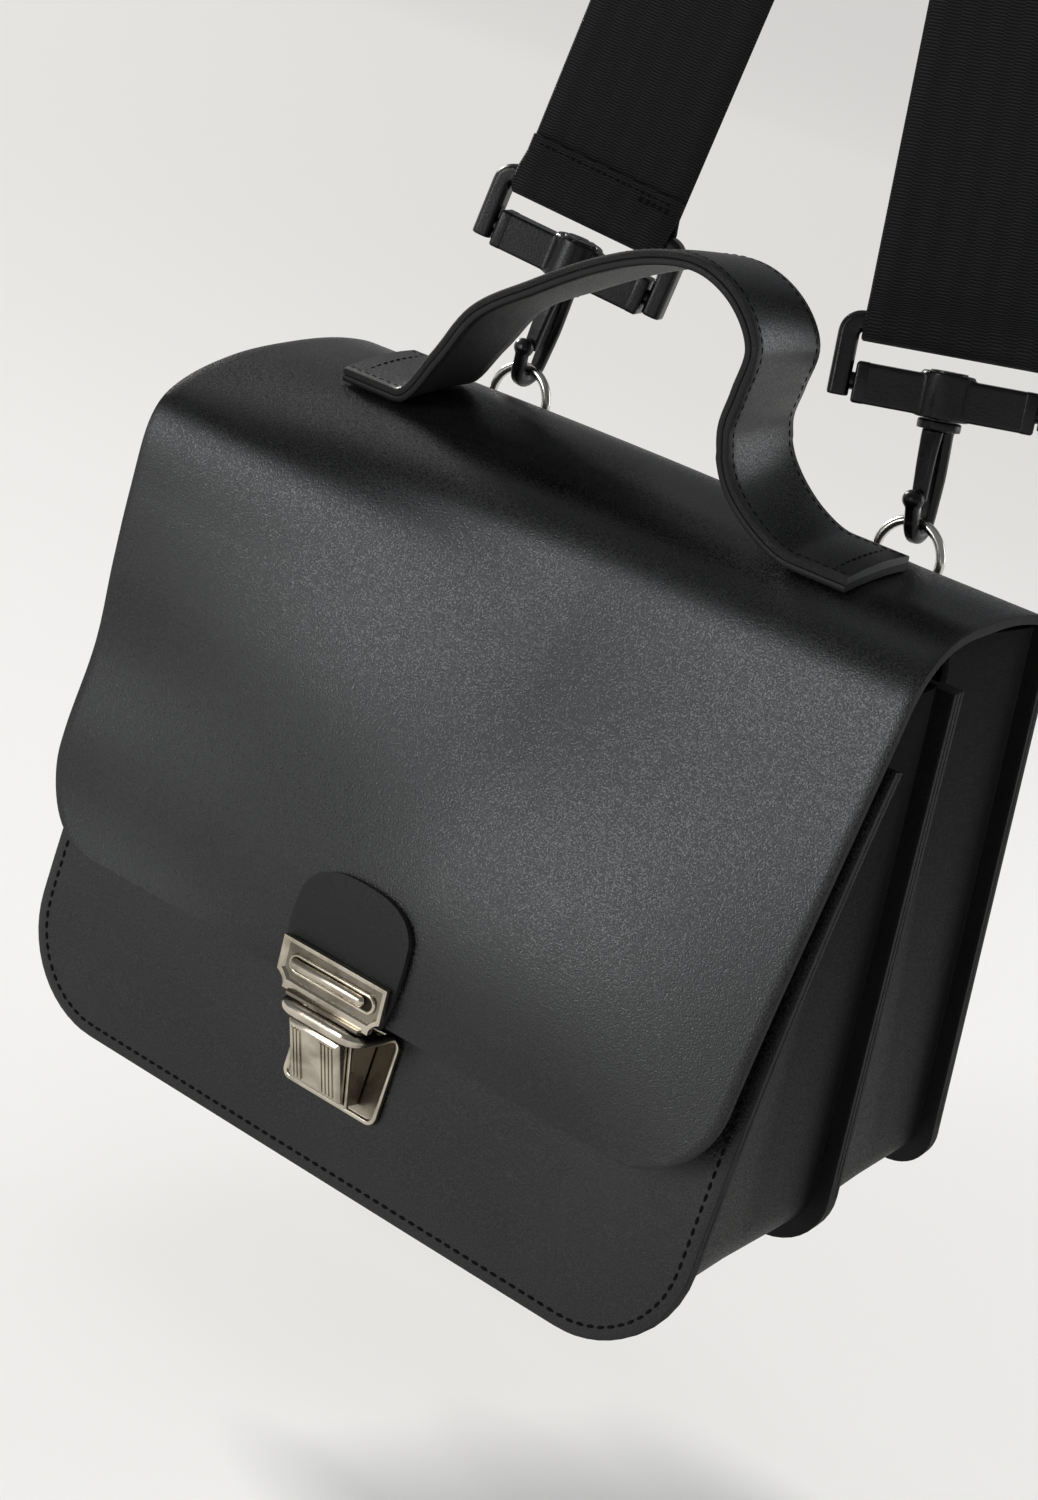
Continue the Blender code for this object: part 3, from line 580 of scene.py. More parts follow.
    @staticmethod
    def ball(name: str, radius: float, place: Sequence[float], stretch: float = 0.0) -> bpy.types.Object:
        """Ball drawn out along x, to be shaped further.

        Args:
            name: the object's name.
            radius: its radius.
            place: its middle.
            stretch: how far each half moves out along x.

        Returns:
            The ball.
        """
        Bench.clear()
        bpy.ops.mesh.primitive_uv_sphere_add(segments=24, ring_count=14, radius=radius, rotation=(0, math.pi / 2, 0))
        item = Bench.named(name)
        for side in (-1, 1):
            Bench.choose(item, "VERT", lambda spot, normal: spot.x * side > radius * 0.05)
            bpy.ops.transform.translate(value=(side * stretch, 0, 0))
            Bench.done()
        Bench.seat(item, Matrix.Translation(place))
        return item

    @staticmethod
    def wire(name: str, points: Sequence[Vector], radius: float, swell: Sequence[float] = (),
             closed: bool = False) -> bpy.types.Object:
        """Round bar along a route.

        Args:
            name: the object's name.
            points: the route.
            radius: the bar's radius.
            swell: share of the radius at each point, where it isn't the same all along.
            closed: whether the route closes on itself.

        Returns:
            The bar, as a mesh.
        """
        curve = bpy.data.curves.new(name, "CURVE")
        curve.dimensions = "3D"
        curve.bevel_depth = radius
        curve.bevel_resolution = 5
        curve.use_fill_caps = not closed
        spline = curve.splines.new("POLY")
        spline.points.add(len(points) - 1)
        spline.use_cyclic_u = closed
        for i, (point, spot) in enumerate(zip(spline.points, points)):
            point.co = (*spot, 1)
            point.radius = swell[i] if swell else 1.0
        item = Bench.linked(name, curve)
        Bench.pick(item)
        bpy.ops.object.convert(target="MESH")
        Bench.smooth(item, 60.0)
        return item

    @staticmethod
    def seat(item: bpy.types.Object, place: Matrix) -> None:
        """Moves an object's mesh to its place, and leaves the object at the origin.

        Args:
            item: the object.
            place: where its mesh goes.
        """
        Bench.pick(item)
        item.matrix_world = place
        bpy.ops.object.transform_apply(location=True, rotation=True, scale=True)

    @staticmethod
    def join(item: bpy.types.Object, *others: bpy.types.Object) -> bpy.types.Object:
        """Joins others to an object.

        Args:
            item: the object.
            others: the objects that become part of it.

        Returns:
            The object.
        """
        Bench.pick(item)
        for other in others:
            other.select_set(True)
        bpy.ops.object.join()
        return item

    @staticmethod
    def soften(item: bpy.types.Object, width: float, segments: int = 3, degrees: float = 30.0) -> None:
        """Rounds an object's edges.

        Args:
            item: the object.
            width: width of the rounding.
            segments: faces across it.
            degrees: angle past which an edge is rounded.
        """
        Bench.change(item, "BEVEL", width=width, segments=segments, limit_method="ANGLE",
                     angle_limit=math.radians(degrees))
        Bench.smooth(item, 40.0)

    @staticmethod
    def mould(item: bpy.types.Object, grain: float = 0.00042, rounds: int = 7) -> None:
        """Melts overlapping forms into one moulding with soft fillets.

        Args:
            item: the object.
            grain: size of the new mesh's cells.
            rounds: smoothing passes.
        """
        Bench.change(item, "REMESH", mode="VOXEL", voxel_size=grain)
        Bench.change(item, "SMOOTH", factor=0.5, iterations=rounds)
        Bench.smooth(item, 180.0)

    @staticmethod
    def extrude(value: Sequence[float]) -> None:
        """Extrudes the selected faces, in edit mode."""
        bpy.ops.mesh.extrude_region_move(TRANSFORM_OT_translate={"value": value})

    @staticmethod
    def done() -> None:
        """Leaves edit mode."""
        bpy.ops.object.mode_set(mode="OBJECT")

    @staticmethod
    def thicken(item: bpy.types.Object, thickness: float, offset: float, rounding: float = 0.0,
                even: bool = True) -> None:
        """Gives a sheet its thickness, with the second material on its cut edges.

        Args:
            item: the sheet.
            thickness: its thickness.
            offset: side that it grows to: 1 along the faces' normals, -1 against them, 0 both.
            rounding: width of the cut edges' rounding.
            even: whether bends keep the thickness.
        """
        Bench.change(item, "SOLIDIFY", thickness=thickness, offset=offset, use_even_offset=even, material_offset_rim=1)
        if rounding:
            Bench.change(item, "BEVEL", width=rounding, segments=2, limit_method="ANGLE",
                         angle_limit=math.radians(50), material=1)

    @staticmethod
    def strip(name: str, points: Sequence[Vector], widths: Sequence[Vector], width: float, thickness: float,
              shift: float = 0.0, crown: float = 0.0, rounding: float = 0.42,
              taper: Callable[[float], float] = lambda share: 1.0, bows: Sequence[float] = ()) -> bpy.types.Object:
        """Band along a route, with rounded edges and a UV map in metres, across and along.

        Args:
            name: the object's name.
            points: the route.
            widths: direction of the width at each point.
            width: size across.
            thickness: size through.
            shift: distance along the band's normal.
            crown: extra height at the middle of its upper face.
            rounding: size of the edges' rounding, as a share of the thickness.
            taper: share of the width at a share of the route.
            bows: drop of the band's edges below its middle at each point, where it bows.

        Returns:
            The band, with the second material on its edges.
        """
        steps = 10
        edge = thickness * rounding
        flat = [-1.0 + 2.0 * i / steps for i in range(steps + 1)]
        upper = [(t * (width / 2 - edge), thickness / 2 + crown * (1 - t * t)) for t in flat]
        lower = [(t * (width / 2 - edge), -thickness / 2) for t in reversed(flat)]
        side = [(width / 2, thickness / 2 - edge), (width / 2, edge - thickness / 2)]
        loop = upper + side + lower + [(-a, b) for a, b in reversed(side)]
        last = len(points) - 1
        vertices, lengths, run = [], [], 0.0
        for i, point in enumerate(points):
            run += (point - points[i - 1]).length if i else 0.0
            along = (points[min(i + 1, last)] - points[max(i - 1, 0)]).normalized()
            normal = along.cross(widths[i]).normalized()
            narrow = taper(i / last)
            bow = bows[i] if bows else 0.0
            vertices += [point + widths[i] * (a * narrow) + normal * (b + shift - bow * (2 * a / width) ** 2)
                         for a, b in loop]
            lengths.append(run)
        count = len(loop)
        faces = [(i * count + k, i * count + (k + 1) % count, (i + 1) * count + (k + 1) % count, (i + 1) * count + k)
                 for i in range(last) for k in range(count)]
        faces += [tuple(range(count)), tuple(range(last * count, (last + 1) * count))]
        mesh = bpy.data.meshes.new(name)
        mesh.from_pydata(vertices, [], faces)
        for face in mesh.polygons:
            place = face.index % count
            face.material_index = int(place in (steps, steps + 1, steps + 2, count - 3, count - 2, count - 1))
        layer = mesh.uv_layers.new(name="UVMap")
        for corner in mesh.loops:
            row, k = divmod(corner.vertex_index, count)
            layer.data[corner.index].uv = (loop[k][0], lengths[row])
        item = Bench.linked(name, mesh)
        Bench.outward(item)
        return item

    @staticmethod
    def seam(name: str, points: Sequence[Vector], normals: Sequence[Vector], pitch: float = 0.0032,
             length: float = 0.0024, radius: float = 0.00052) -> bpy.types.Object:
        """Row of stitches along a route, each a thread's short hump.

        Args:
            name: the object's name.
            points: the route, on the surface.
            normals: direction out of the surface at each point.
            pitch: distance from stitch to stitch.
            length: length of a stitch.
            radius: radius of the thread.

        Returns:
            The stitches, as one object.
        """
        Bench.clear()
        bpy.ops.mesh.primitive_uv_sphere_add(segments=6, ring_count=5, radius=1.0)
        pattern = bpy.context.object
        shape = [vertex.co.copy() for vertex in pattern.data.vertices]
        sides = [tuple(face.vertices) for face in pattern.data.polygons]
        bpy.data.objects.remove(pattern)
        vertices, faces, due, run = [], [], pitch / 2, 0.0
        for first, second, out in zip(points, points[1:], normals):
            step = (second - first).length
            if step == 0.0:
                continue
            along = (second - first) / step
            while due <= run + step:
                middle = first + along * (due - run)
                across = along.cross(out).normalized()
                base = len(vertices)
                vertices += [middle + along * (v.z * length / 2) + across * (v.x * radius) + out * (v.y * radius * 0.8)
                             for v in shape]
                faces += [tuple(base + i for i in side) for side in sides]
                due += pitch
            run += step
        mesh = bpy.data.meshes.new(name)
        mesh.from_pydata(vertices, [], faces)
        item = Bench.linked(name, mesh)
        Bench.outward(item)
        return item


def settle(item: bpy.types.Object, body: str, slot: str, *nodes: str) -> None:
    """Puts a finished piece on its body, in place of the nodes it stands for.

    Args:
        item: the piece.
        body: the body it rides on.
        slot: its material slot; not used.
        nodes: the nodes that it replaces.
    """
    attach(item, body)
    if nodes:
        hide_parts(*nodes)
    LOG.info("%s rides on %s", item.name, body)


def arc(centre: tuple[float, float], radius: float, start: float, end: float, steps: int) -> list[tuple[float, float]]:
    """Points on an arc, with angles in radians."""
    angles = [start + (end - start) * i / steps for i in range(steps + 1)]
    return [(centre[0] + radius * math.cos(t), centre[1] + radius * math.sin(t)) for t in angles]


def curve_through(before: Vector, knots: Sequence[Vector], after: Vector, steps: int) -> list[Vector]:
    """Smooth curve through knots.

    Args:
        before: a point ahead of the first knot, which sets the curve's first direction.
        knots: the points that the curve goes through.
        after: a point past the last knot, which sets its last direction.
        steps: points from knot to knot.

    Returns:
        The points, ending on the last knot.
    """
    guide = [before, *knots, after]
    points = []
    for a, b, c, d in zip(guide, guide[1:], guide[2:], guide[3:]):
        for i in range(steps):
            t = i / steps
            points.append(0.5 * (2 * b + (c - a) * t + (2 * a - 5 * b + 4 * c - d) * t**2
                                 + (3 * b - a - 3 * c + d) * t**3))
    return points + [knots[-1]]


def evenly(line: Sequence[Vector], count: int) -> list[Vector]:
    """Points spaced evenly along a line of points.

    Args:
        line: the line's points.
        count: number of equal steps.

    Returns:
        The points, from the line's first to its last.
    """
    runs = [0.0]
    for first, second in zip(line, line[1:]):
        runs.append(runs[-1] + (second - first).length)
    points, k = [], 0
    for i in range(count + 1):
        due = runs[-1] * i / count
        while k < len(line) - 2 and runs[k + 1] < due:
            k += 1
        share = min(1.0, (due - runs[k]) / max(1e-9, runs[k + 1] - runs[k]))
        points.append(line[k].lerp(line[k + 1], share))
    return points


@dataclass(frozen=True)
class BagSpace:
    """The bag's own space, hung from the ring bars."""

    lean: float = math.radians(15.0)
    bar_height: float = 0.166
    bar_depth: float = 0.0036

    @property
    def matrix(self) -> Matrix:
        """Bag space to the frame's space.

        Returns:
            The matrix.
        """
        seat = next(joint for joint in frame["joints"] if joint["name"] == "bag_swing")["pos_m"]
        lean = Matrix.Rotation(self.lean, 4, "X")
        return Matrix.Translation(seat) @ lean @ Matrix.Translation((0, -self.bar_depth, -self.bar_height))

    def at(self, x: float, y: float, z: float) -> Vector:
        """A point of the bag in the frame's space."""
        return self.matrix @ Vector((x, y, z))


@dataclass(frozen=True)
class Panel:
    """A flat or bulging panel: x across, v up and w out from its outer face."""

    low: float
    high: float
    height: float
    corner: float
    foot: float = 0.0
    bulge: float = 0.0
    width: float = 0.238

    @property
    def length(self) -> float:
        """Size from the lower edge to the upper."""
        return math.hypot(self.low - self.high, self.height)

    def spot(self, x: float, v: float, w: float) -> Vector:
        """A point of the panel, in bag space.

        Args:
            x: place across.
            v: height up the panel.
            w: distance out from its outer face.

        Returns:
            The point.
        """
        lean = math.atan2(self.low - self.high, self.height)
        swell = 4 * self.bulge * v * (self.length - v) / self.length**2
        up, out = Vector((0, math.sin(lean), math.cos(lean))), Vector((0, -math.cos(lean), math.sin(lean)))
        return Vector((x, -self.low, self.foot)) + up * v + out * (w + swell)

    def rim(self, inset: float, sides: int, bends: int, bottom: int) -> list[tuple[float, float]]:
        """Line down the left edge, round the bottom and up the right edge.

        Args:
            inset: distance in from the edge.
            sides: steps along each side.
            bends: steps round each corner.
            bottom: steps along the bottom.

        Returns:
            Points (x, v).
        """
        half = self.width / 2 - inset
        side = [(-half, self.length + (self.corner - self.length) * i / sides) for i in range(sides)]
        turn = arc((self.corner - self.width / 2, self.corner), self.corner - inset, math.pi, 1.5 * math.pi, bends)
        left = side + turn
        start = left[-1][0]
        floor = [(start * (1 - 2 * (i + 1) / bottom), inset) for i in range(bottom - 1)]
        return left + floor + [(-x, v) for x, v in reversed(left)]

    def half_width(self, v: float) -> float:
        """Half of the panel's width at a height."""
        drop = max(0.0, self.corner - v)
        return self.width / 2 - self.corner + math.sqrt(max(0.0, self.corner**2 - drop**2))


@dataclass
class BagBody:
    """Panels, side strips and their seams."""

    space: BagSpace
    wardrobe: Wardrobe
    leather: float = 0.0024
    side_leather: float = 0.0018
    seam: float = 0.006
    stitch_inset: float = 0.0034
    crease: float = 0.013
    crease_sharpness: float = 1.15
    crease_rise: float = 1.3
    panel_round: float = 0.0005
    side_round: float = 0.0004
    back: Panel = Panel(0.0, 0.0, 0.175, 0.014)
    divider: Panel = Panel(0.059, 0.049, 0.172, 0.020)
    front: Panel = Panel(0.137, 0.074, 0.1565, 0.032, 0.0015, 0.005)

    def build(self) -> None:
        """Builds every piece of the bag's body."""
        self.add_panel("front_leather", self.front, 0.0, "front_panel", Finish.LEATHER, "leather")
        self.add_panel("divider_leather", self.divider, self.leather / 2, "divider_panel", Finish.MATT_LEATHER,
                       "lining_leather")
        self.add_panel("back_leather", self.back, self.leather, "back_panel", Finish.LEATHER, "leather")
        self.add_side("front_side", (self.front, -self.leather - GAP), (self.divider, self.leather / 2 + GAP),
                      "front_gusset")
        self.add_side("rear_side", (self.divider, -self.leather / 2 - GAP), (self.back, self.leather + GAP),
                      "rear_gusset")
        self.add_stitches("front_stitches", self.front, 0.0, 1.0)
        self.add_stitches("back_stitches", self.back, 0.0, -1.0)

    def add_panel(self, name: str, panel: Panel, outer: float, node: str, finish: Finish, slot: str) -> None:
        """Panel with rounded lower corners, from a sheet shaped in rows.

        Args:
            name: the piece's name.
            panel: its shape.
            outer: w of its front face.
            node: the node it replaces.
            finish: its finish.
            slot: its material slot.
        """
        bend_share = 0.25

        def place(u: float, v: float) -> Vector:
            """Point of the sheet.

            Args:
                u: place across, from -1 to 1.
                v: place along, from -1 to 1.

            Returns:
                The point, in the frame's space.
            """
            t = (v + 1) / 2
            if t < bend_share:
                height = panel.corner * (1 - math.cos(t / bend_share * math.pi / 2))
            else:
                height = panel.corner + (panel.length - panel.corner) * (t - bend_share) / (1 - bend_share)
            return self.space.matrix @ panel.spot(u * panel.half_width(height), height, outer)
        item = Bench.grid(name, 60, 56, place)
        self.wardrobe.dress(item, finish, Finish.SUEDE)
        Bench.thicken(item, self.leather, 1.0 if self.faces_back(item) else -1.0, self.panel_round)
        Bench.smooth(item)
        settle(item, "bag", slot, node)

    def faces_back(self, item: bpy.types.Object) -> bool:
        """Whether a sheet's faces look to the bag's back."""
        return sum(face.normal.y for face in item.data.polygons) > 0

    def add_side(self, name: str, front: tuple[Panel, float], rear: tuple[Panel, float], node: str) -> None:
        """Side and bottom strip between two panels, creased in towards its open top.

        Args:
            name: the piece's name.
            front: the panel in front, and w of the face it is sewn to.
            rear: the panel behind, and w of the face it is sewn to.
            node: the node it replaces.
        """
        counts = (20, 10, 40)
        edges = {}
        for label, (panel, face) in (("front", front), ("rear", rear)):
            for inset in (0.0, self.seam):
                rim = panel.rim(inset, *counts)
                edges[label, inset] = [panel.spot(x, v, face) for x, v in rim]
        rows = len(edges["front", 0.0]) - 1
        top = self.divider.height

        def place(u: float, v: float) -> Vector:
            """Point of the sheet.

            Args:
                u: place across, from -1 to 1.
                v: place along, from -1 to 1.

            Returns:
                The point, in the frame's space.
            """
            row = round((v + 1) / 2 * rows)
            outer_front, inner_front = edges["front", 0.0][row], edges["front", self.seam][row]
            outer_rear, inner_rear = edges["rear", 0.0][row], edges["rear", self.seam][row]
            t, flange = (u + 1) / 2, 0.2
            if t <= flange:
                point = outer_front.lerp(inner_front, t / flange)
            elif t >= 1 - flange:
                point = outer_rear.lerp(inner_rear, (1 - t) / flange)
            else:
                q = (t - flange) / (1 - 2 * flange)
                inward = (inner_front - outer_front).normalized()
                fold = (1 - abs(2 * q - 1)) ** self.crease_sharpness
                share = max(0.0, inner_front.z / top) ** self.crease_rise
                point = inner_front.lerp(inner_rear, q) + inward * (self.crease * fold * share)
            return self.space.matrix @ point
        item = Bench.grid(name, 30, rows, place)
        Bench.outward(item)
        # The side strips take the darker leather copy: painted shade on the sides.
        self.wardrobe.dress(item, Finish.SIDE_LEATHER, Finish.SUEDE)
        Bench.thicken(item, self.side_leather, 0.0, self.side_round)
        Bench.smooth(item, 50.0)
        settle(item, "bag", "leather", node)

    def add_stitches(self, name: str, panel: Panel, face: float, side: float) -> None:
        """Stitches along a panel's seam.

        Args:
            name: the piece's name.
            panel: the panel.
            face: w of the sewn face.
            side: 1 on a front face, -1 on a back face.
        """
        rim = panel.rim(self.stitch_inset, 24, 10, 40)
        points = [self.space.matrix @ panel.spot(x, v, face) for x, v in rim]
        out = self.space.matrix.to_3x3() @ (panel.spot(0, panel.length / 2, side) - panel.spot(0, panel.length / 2, 0))
        item = Bench.seam(name, points, [out.normalized()] * len(points))
        self.wardrobe.dress(item, Finish.THREAD)
        settle(item, "bag", "leather")


@dataclass
class Flap:
    """One sheet from the back's upper edge, over the top and down the front."""

    space: BagSpace
    wardrobe: Wardrobe
    width: float = 0.236
    thickness: float = 0.0026
    top_edge: tuple[tuple[float, float], ...] = (
        (0.0, 0.1753), (-0.0018, 0.1776), (-0.006, 0.1801), (-0.0125, 0.1827), (-0.025, 0.1857), (-0.039, 0.1873),
        (-0.050, 0.1878))
    front_bend: float = 0.026
    slope: float = math.radians(27.0)
    hang: float = 0.1315
    corner: float = 0.024
    belly: float = 0.008
    belly_fall: float = 0.8
    crown: float = 0.0026
    crown_middle: float = -0.02
    crown_half: float = 0.10
    crown_run: float = 0.055
    full_from: float = 0.02
    full_power: float = 1.4
    edge_round: float = 0.0005
    blend_start: tuple[float, float, float] = (0.0, 0.018, 0.012)
    blend_end: tuple[float, float, float] = (0.0, -0.010, -0.020)
    left_edge: tuple[tuple[float, float], ...] = (
        (0.0, 0.1753), (-0.004, 0.1798), (-0.020, 0.1846), (-0.040, 0.1874), (-0.064, 0.1884), (-0.086, 0.1848),
        (-0.097, 0.1765), (-0.1035, 0.156), (-0.1085, 0.135), (-0.1135, 0.111), (-0.123, 0.088), (-0.129, 0.070),
        (-0.135, 0.058))

    @cached_property
    def plain(self) -> list[Vector]:
        """Outer face at the middle: over the domed top, round the front bend and down the front.

        Returns:
            Its points, in bag space.
        """
        knots = [Vector((0, y, z)) for y, z in self.top_edge]
        crest = knots[-1]
        turn = math.pi / 2 - self.slope
        angles = [turn * i / 20 for i in range(1, 21)]
        bend = [crest + self.front_bend * Vector((0, -math.sin(a), math.cos(a) - 1)) for a in angles]
        top = curve_through(2 * knots[0] - knots[1], knots, bend[7], 12)
        down = Vector((0, -math.sin(self.slope), -math.cos(self.slope))) * self.hang
        return top + bend + [bend[-1] + down * (i / 40) for i in range(1, 41)]

    @cached_property
    def left(self) -> list[Vector]:
        """Points down the left edge, which stands fuller and waves."""
        knots = [Vector((0, y, z)) for y, z in self.left_edge]
        return curve_through(2 * knots[0] - knots[1], knots, 2 * knots[-1] - knots[-2], 12)

    @cached_property
    def length(self) -> float:
        """Size of the sheet from the back edge to the lower edge."""
        return sum((b - a).length for a, b in zip(self.plain, self.plain[1:]))

    @cached_property
    def plain_line(self) -> list[Vector]:
        """The middle's points, evenly spaced."""
        return evenly(self.plain, 240)

    @cached_property
    def left_line(self) -> list[Vector]:
        """The left edge's points, evenly spaced."""
        return evenly(self.left, 240)

    def along(self, line: Sequence[Vector], s: float) -> Vector:
        """Point of an evenly spaced line at a distance from the back edge.

        Args:
            line: the line.
            s: the distance along the sheet.

        Returns:
            The point.
        """
        spot = min(1.0, max(0.0, s / self.length)) * (len(line) - 1)
        k = min(int(spot), len(line) - 2)
        return line[k].lerp(line[k + 1], spot - k)

    def surface(self, x: float, s: float) -> Vector:
        """Point of the outer face: the plain form, bellied in the middle and fuller to the left.

        Args:
            x: place across.
            s: distance along the sheet from the back edge.

        Returns:
            The point, in bag space.
        """
        across = x / (self.width / 2)
        share = min(1.0, max(0.0, (self.full_from - x) / (self.width / 2 + self.full_from))) ** self.full_power
        full = self.along(self.left_line, s)
        t = (s - self.length + self.hang) / self.hang
        rise = self.belly * (27 / 4) * t * t * (1 - t) if t > 0 else 0.0    # t * t * (1 - t) is 4 / 27 at its peak
        swell = rise * (1 - self.belly_fall * across * across) * (1 - share)
        plain = self.along(self.plain_line, s) + Vector((0, -math.cos(self.slope), math.sin(self.slope))) * swell
        point = plain.lerp(full, share)
        dome = max(0.0, 1 - ((x - self.crown_middle) / self.crown_half) ** 2)
        dome *= math.sin(math.pi * min(1.0, max(0.0, s / self.crown_run)))
        return Vector((x, point.y, point.z + self.crown * dome))

    def seat_at(self, x: float, s: float) -> Matrix:
        """Space on the outer face, with x across, y up the sheet and z out of it.

        Args:
            x: place across.
            s: distance along the sheet from the back edge.

        Returns:
            The space's matrix, in the frame's space.
        """
        step = 0.002
        across = (self.surface(x + step, s) - self.surface(x - step, s)).normalized()
        up = (self.surface(x, s - step) - self.surface(x, s + step)).normalized()
        out = across.cross(up).normalized()
        place = Matrix((out.cross(-up), up, out)).transposed().to_4x4()
        place.translation = self.surface(x, s)
        return self.space.matrix @ place

    def build(self) -> None:
        """Builds the sheet in place of the flap's top and front nodes."""
        bend_share = 0.16

        def place(u: float, v: float) -> Vector:
            """Point of the sheet.

            Args:
                u: place across, from -1 to 1.
                v: place along, from -1 to 1.

            Returns:
                The point, in the frame's space.
            """
            t = (1 - v) / 2
            half = self.width / 2
            if t <= 1 - bend_share:
                s = (self.length - self.corner) * t / (1 - bend_share)
            else:
                angle = (t - 1 + bend_share) / bend_share * math.pi / 2
                s = self.length - self.corner + self.corner * math.sin(angle)
                half -= self.corner * (1 - math.cos(angle))
            return self.space.matrix @ self.surface(u * half, s)
        item = Bench.grid("flap_leather", 80, 110, place)
        self.wardrobe.dress(item, Finish.LEATHER, Finish.SUEDE)
        up = self.space.matrix.to_3x3() @ Vector((0, 0, 1))
        looks_out = sum(face.normal.dot(up) for face in item.data.polygons) > 0
        Bench.thicken(item, self.thickness, -1.0 if looks_out else 1.0, self.edge_round)
        Bench.smooth(item, 50.0)
        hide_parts("flap_top", "flap_front")
        fold = self.along(self.plain_line, self.length - self.hang)
        start = self.space.matrix @ (fold + Vector(self.blend_start))
        end = self.space.matrix @ (fold + Vector(self.blend_end))
        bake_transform(item)
        self.length
        LOG.info("%s rides on flap_top and flap_front", item.name)


@dataclass
class Handle:
    """Two leather layers sewn along both edges and across each pad."""

    space: BagSpace
    wardrobe: Wardrobe
    width: float = 0.031
    layer: float = 0.0019
    depth: float = 0.040
    half_span: float = 0.085
    seat: float = 0.1875
    tilt: float = math.radians(12.0)
    pad_leans: tuple[float, float] = (math.radians(1.5), math.radians(3.5))
    pad_drops: tuple[float, float] = (-0.0014, 0.0)
    pad_bow: float = 0.0007
    pad_start: float = 0.030
    pad_ease: float = 0.026
    pad_height: float = 0.02
    crown: float = 0.0004
    rounding: float = 0.16
    glue: float = 0.00005
    stitch_inset: float = 0.0022
    stitch_lift: float = 0.0001
    stitch: tuple[float, float] = (0.0027, 0.0020)
    threads: tuple[float, float] = (0.00028, 0.00034)
    route: tuple[tuple[float, float], ...] = (
        (-0.066, 0.0), (-0.054, 0.014), (-0.042, 0.031), (-0.024, 0.043), (-0.005, 0.054), (0.012, 0.061),
        (0.027, 0.063), (0.039, 0.058), (0.046, 0.048), (0.044, 0.036), (0.042, 0.025), (0.046, 0.0135),
        (0.056, 0.0045), (0.068, 0.0))

    def build(self) -> None:
        """Builds both layers and their stitches."""
        knots = [Vector((x, 0, z)) for x, z in self.route]
        before = Vector((2 * knots[0].x - knots[1].x, 0, knots[1].z))
        after = Vector((2 * knots[-1].x - knots[-2].x, 0, knots[-2].z))
        curve = curve_through(before, knots, after, 8)
        pad = [Vector((self.half_span * (1 - 0.25 * i / 4), 0, 0)) for i in range(4)]
        path = [Vector((-p.x, 0, 0)) for p in pad] + curve + [p.copy() for p in reversed(pad)]
        high = max(point.z for point in path)
        lift = Vector((0, -self.depth, self.seat + GAP + self.layer + GAP / 2))
        turn = self.space.matrix.to_3x3()
        flats = [min(1.0, max(0.0, (abs(point.x) - self.pad_start) / self.pad_ease)) if point.z < self.pad_height
                 else 0.0 for point in path]
        sides = [int(point.x > 0) for point in path]
        tilts = [max(self.tilt * point.z / high, self.pad_leans[side] * flat)
                 for point, side, flat in zip(path, sides, flats)]
        bows = [self.pad_bow * flat for flat in flats]
        path = [point - Vector((0, 0, self.pad_drops[side] * flat)) for point, side, flat in zip(path, sides, flats)]
        widths = [turn @ Vector((0, math.cos(tilt), -math.sin(tilt))) for tilt in tilts]
        points = [self.space.matrix @ (point + lift) for point in path]
        shift = self.layer / 2 + self.glue
        for name, node, side, crown, finish, edge, slot in (
                ("handle_top", "handle", shift, self.crown, Finish.HANDLE_LEATHER, Finish.SUEDE, "leather"),
                ("handle_under", "handle_lining", -shift, 0.0, Finish.MATT_LEATHER, Finish.MATT_LEATHER,
                 "lining_leather")):
            item = Bench.strip(name, points, widths, self.width, self.layer, side, crown, self.rounding, bows=bows)
            self.wardrobe.dress(item, finish, edge)
            Bench.smooth(item, 50.0)
            settle(item, "flap_top", slot, node)
        self.add_stitches(points, widths, bows)

    def add_stitches(self, points: Sequence[Vector], widths: Sequence[Vector], bows: Sequence[float]) -> None:
        """Stitches along both edges and across both pads.

        Args:
            points: the handle's route.
            widths: direction of its width at each point.
            bows: drop of its edges below its middle at each point.
        """
        last = len(points) - 1
        ways = [(points[min(i + 1, last)] - points[max(i - 1, 0)]).normalized() for i in range(last + 1)]
        normals = [way.cross(width).normalized() for way, width in zip(ways, widths)]
        top, inset = self.layer + self.stitch_lift, self.width / 2 - self.stitch_inset
        for name, side in (("handle_stitches_front", -1), ("handle_stitches_back", 1)):
            row = [point + width * (side * inset) + normal * (top - bow * (2 * inset / self.width) ** 2)
                   for point, width, normal, bow in zip(points, widths, normals, bows)]
            item = Bench.seam(name, row, normals, *self.stitch, self.threads[0])
            self.wardrobe.dress(item, Finish.THREAD)
            settle(item, "flap_top", "leather")
        for name, index in (("handle_stitches_left", 1), ("handle_stitches_right", last - 1)):
            shares = [i / 5 - 1 for i in range(11)]
            row = [points[index] + widths[index] * (inset * t)
                   + normals[index] * (top + self.crown * (1 - t * t) - bows[index] * t * t) for t in shares]
            item = Bench.seam(name, row, [normals[index]] * len(row), *self.stitch, self.threads[1])
            self.wardrobe.dress(item, Finish.THREAD)
            settle(item, "flap_top", "leather")


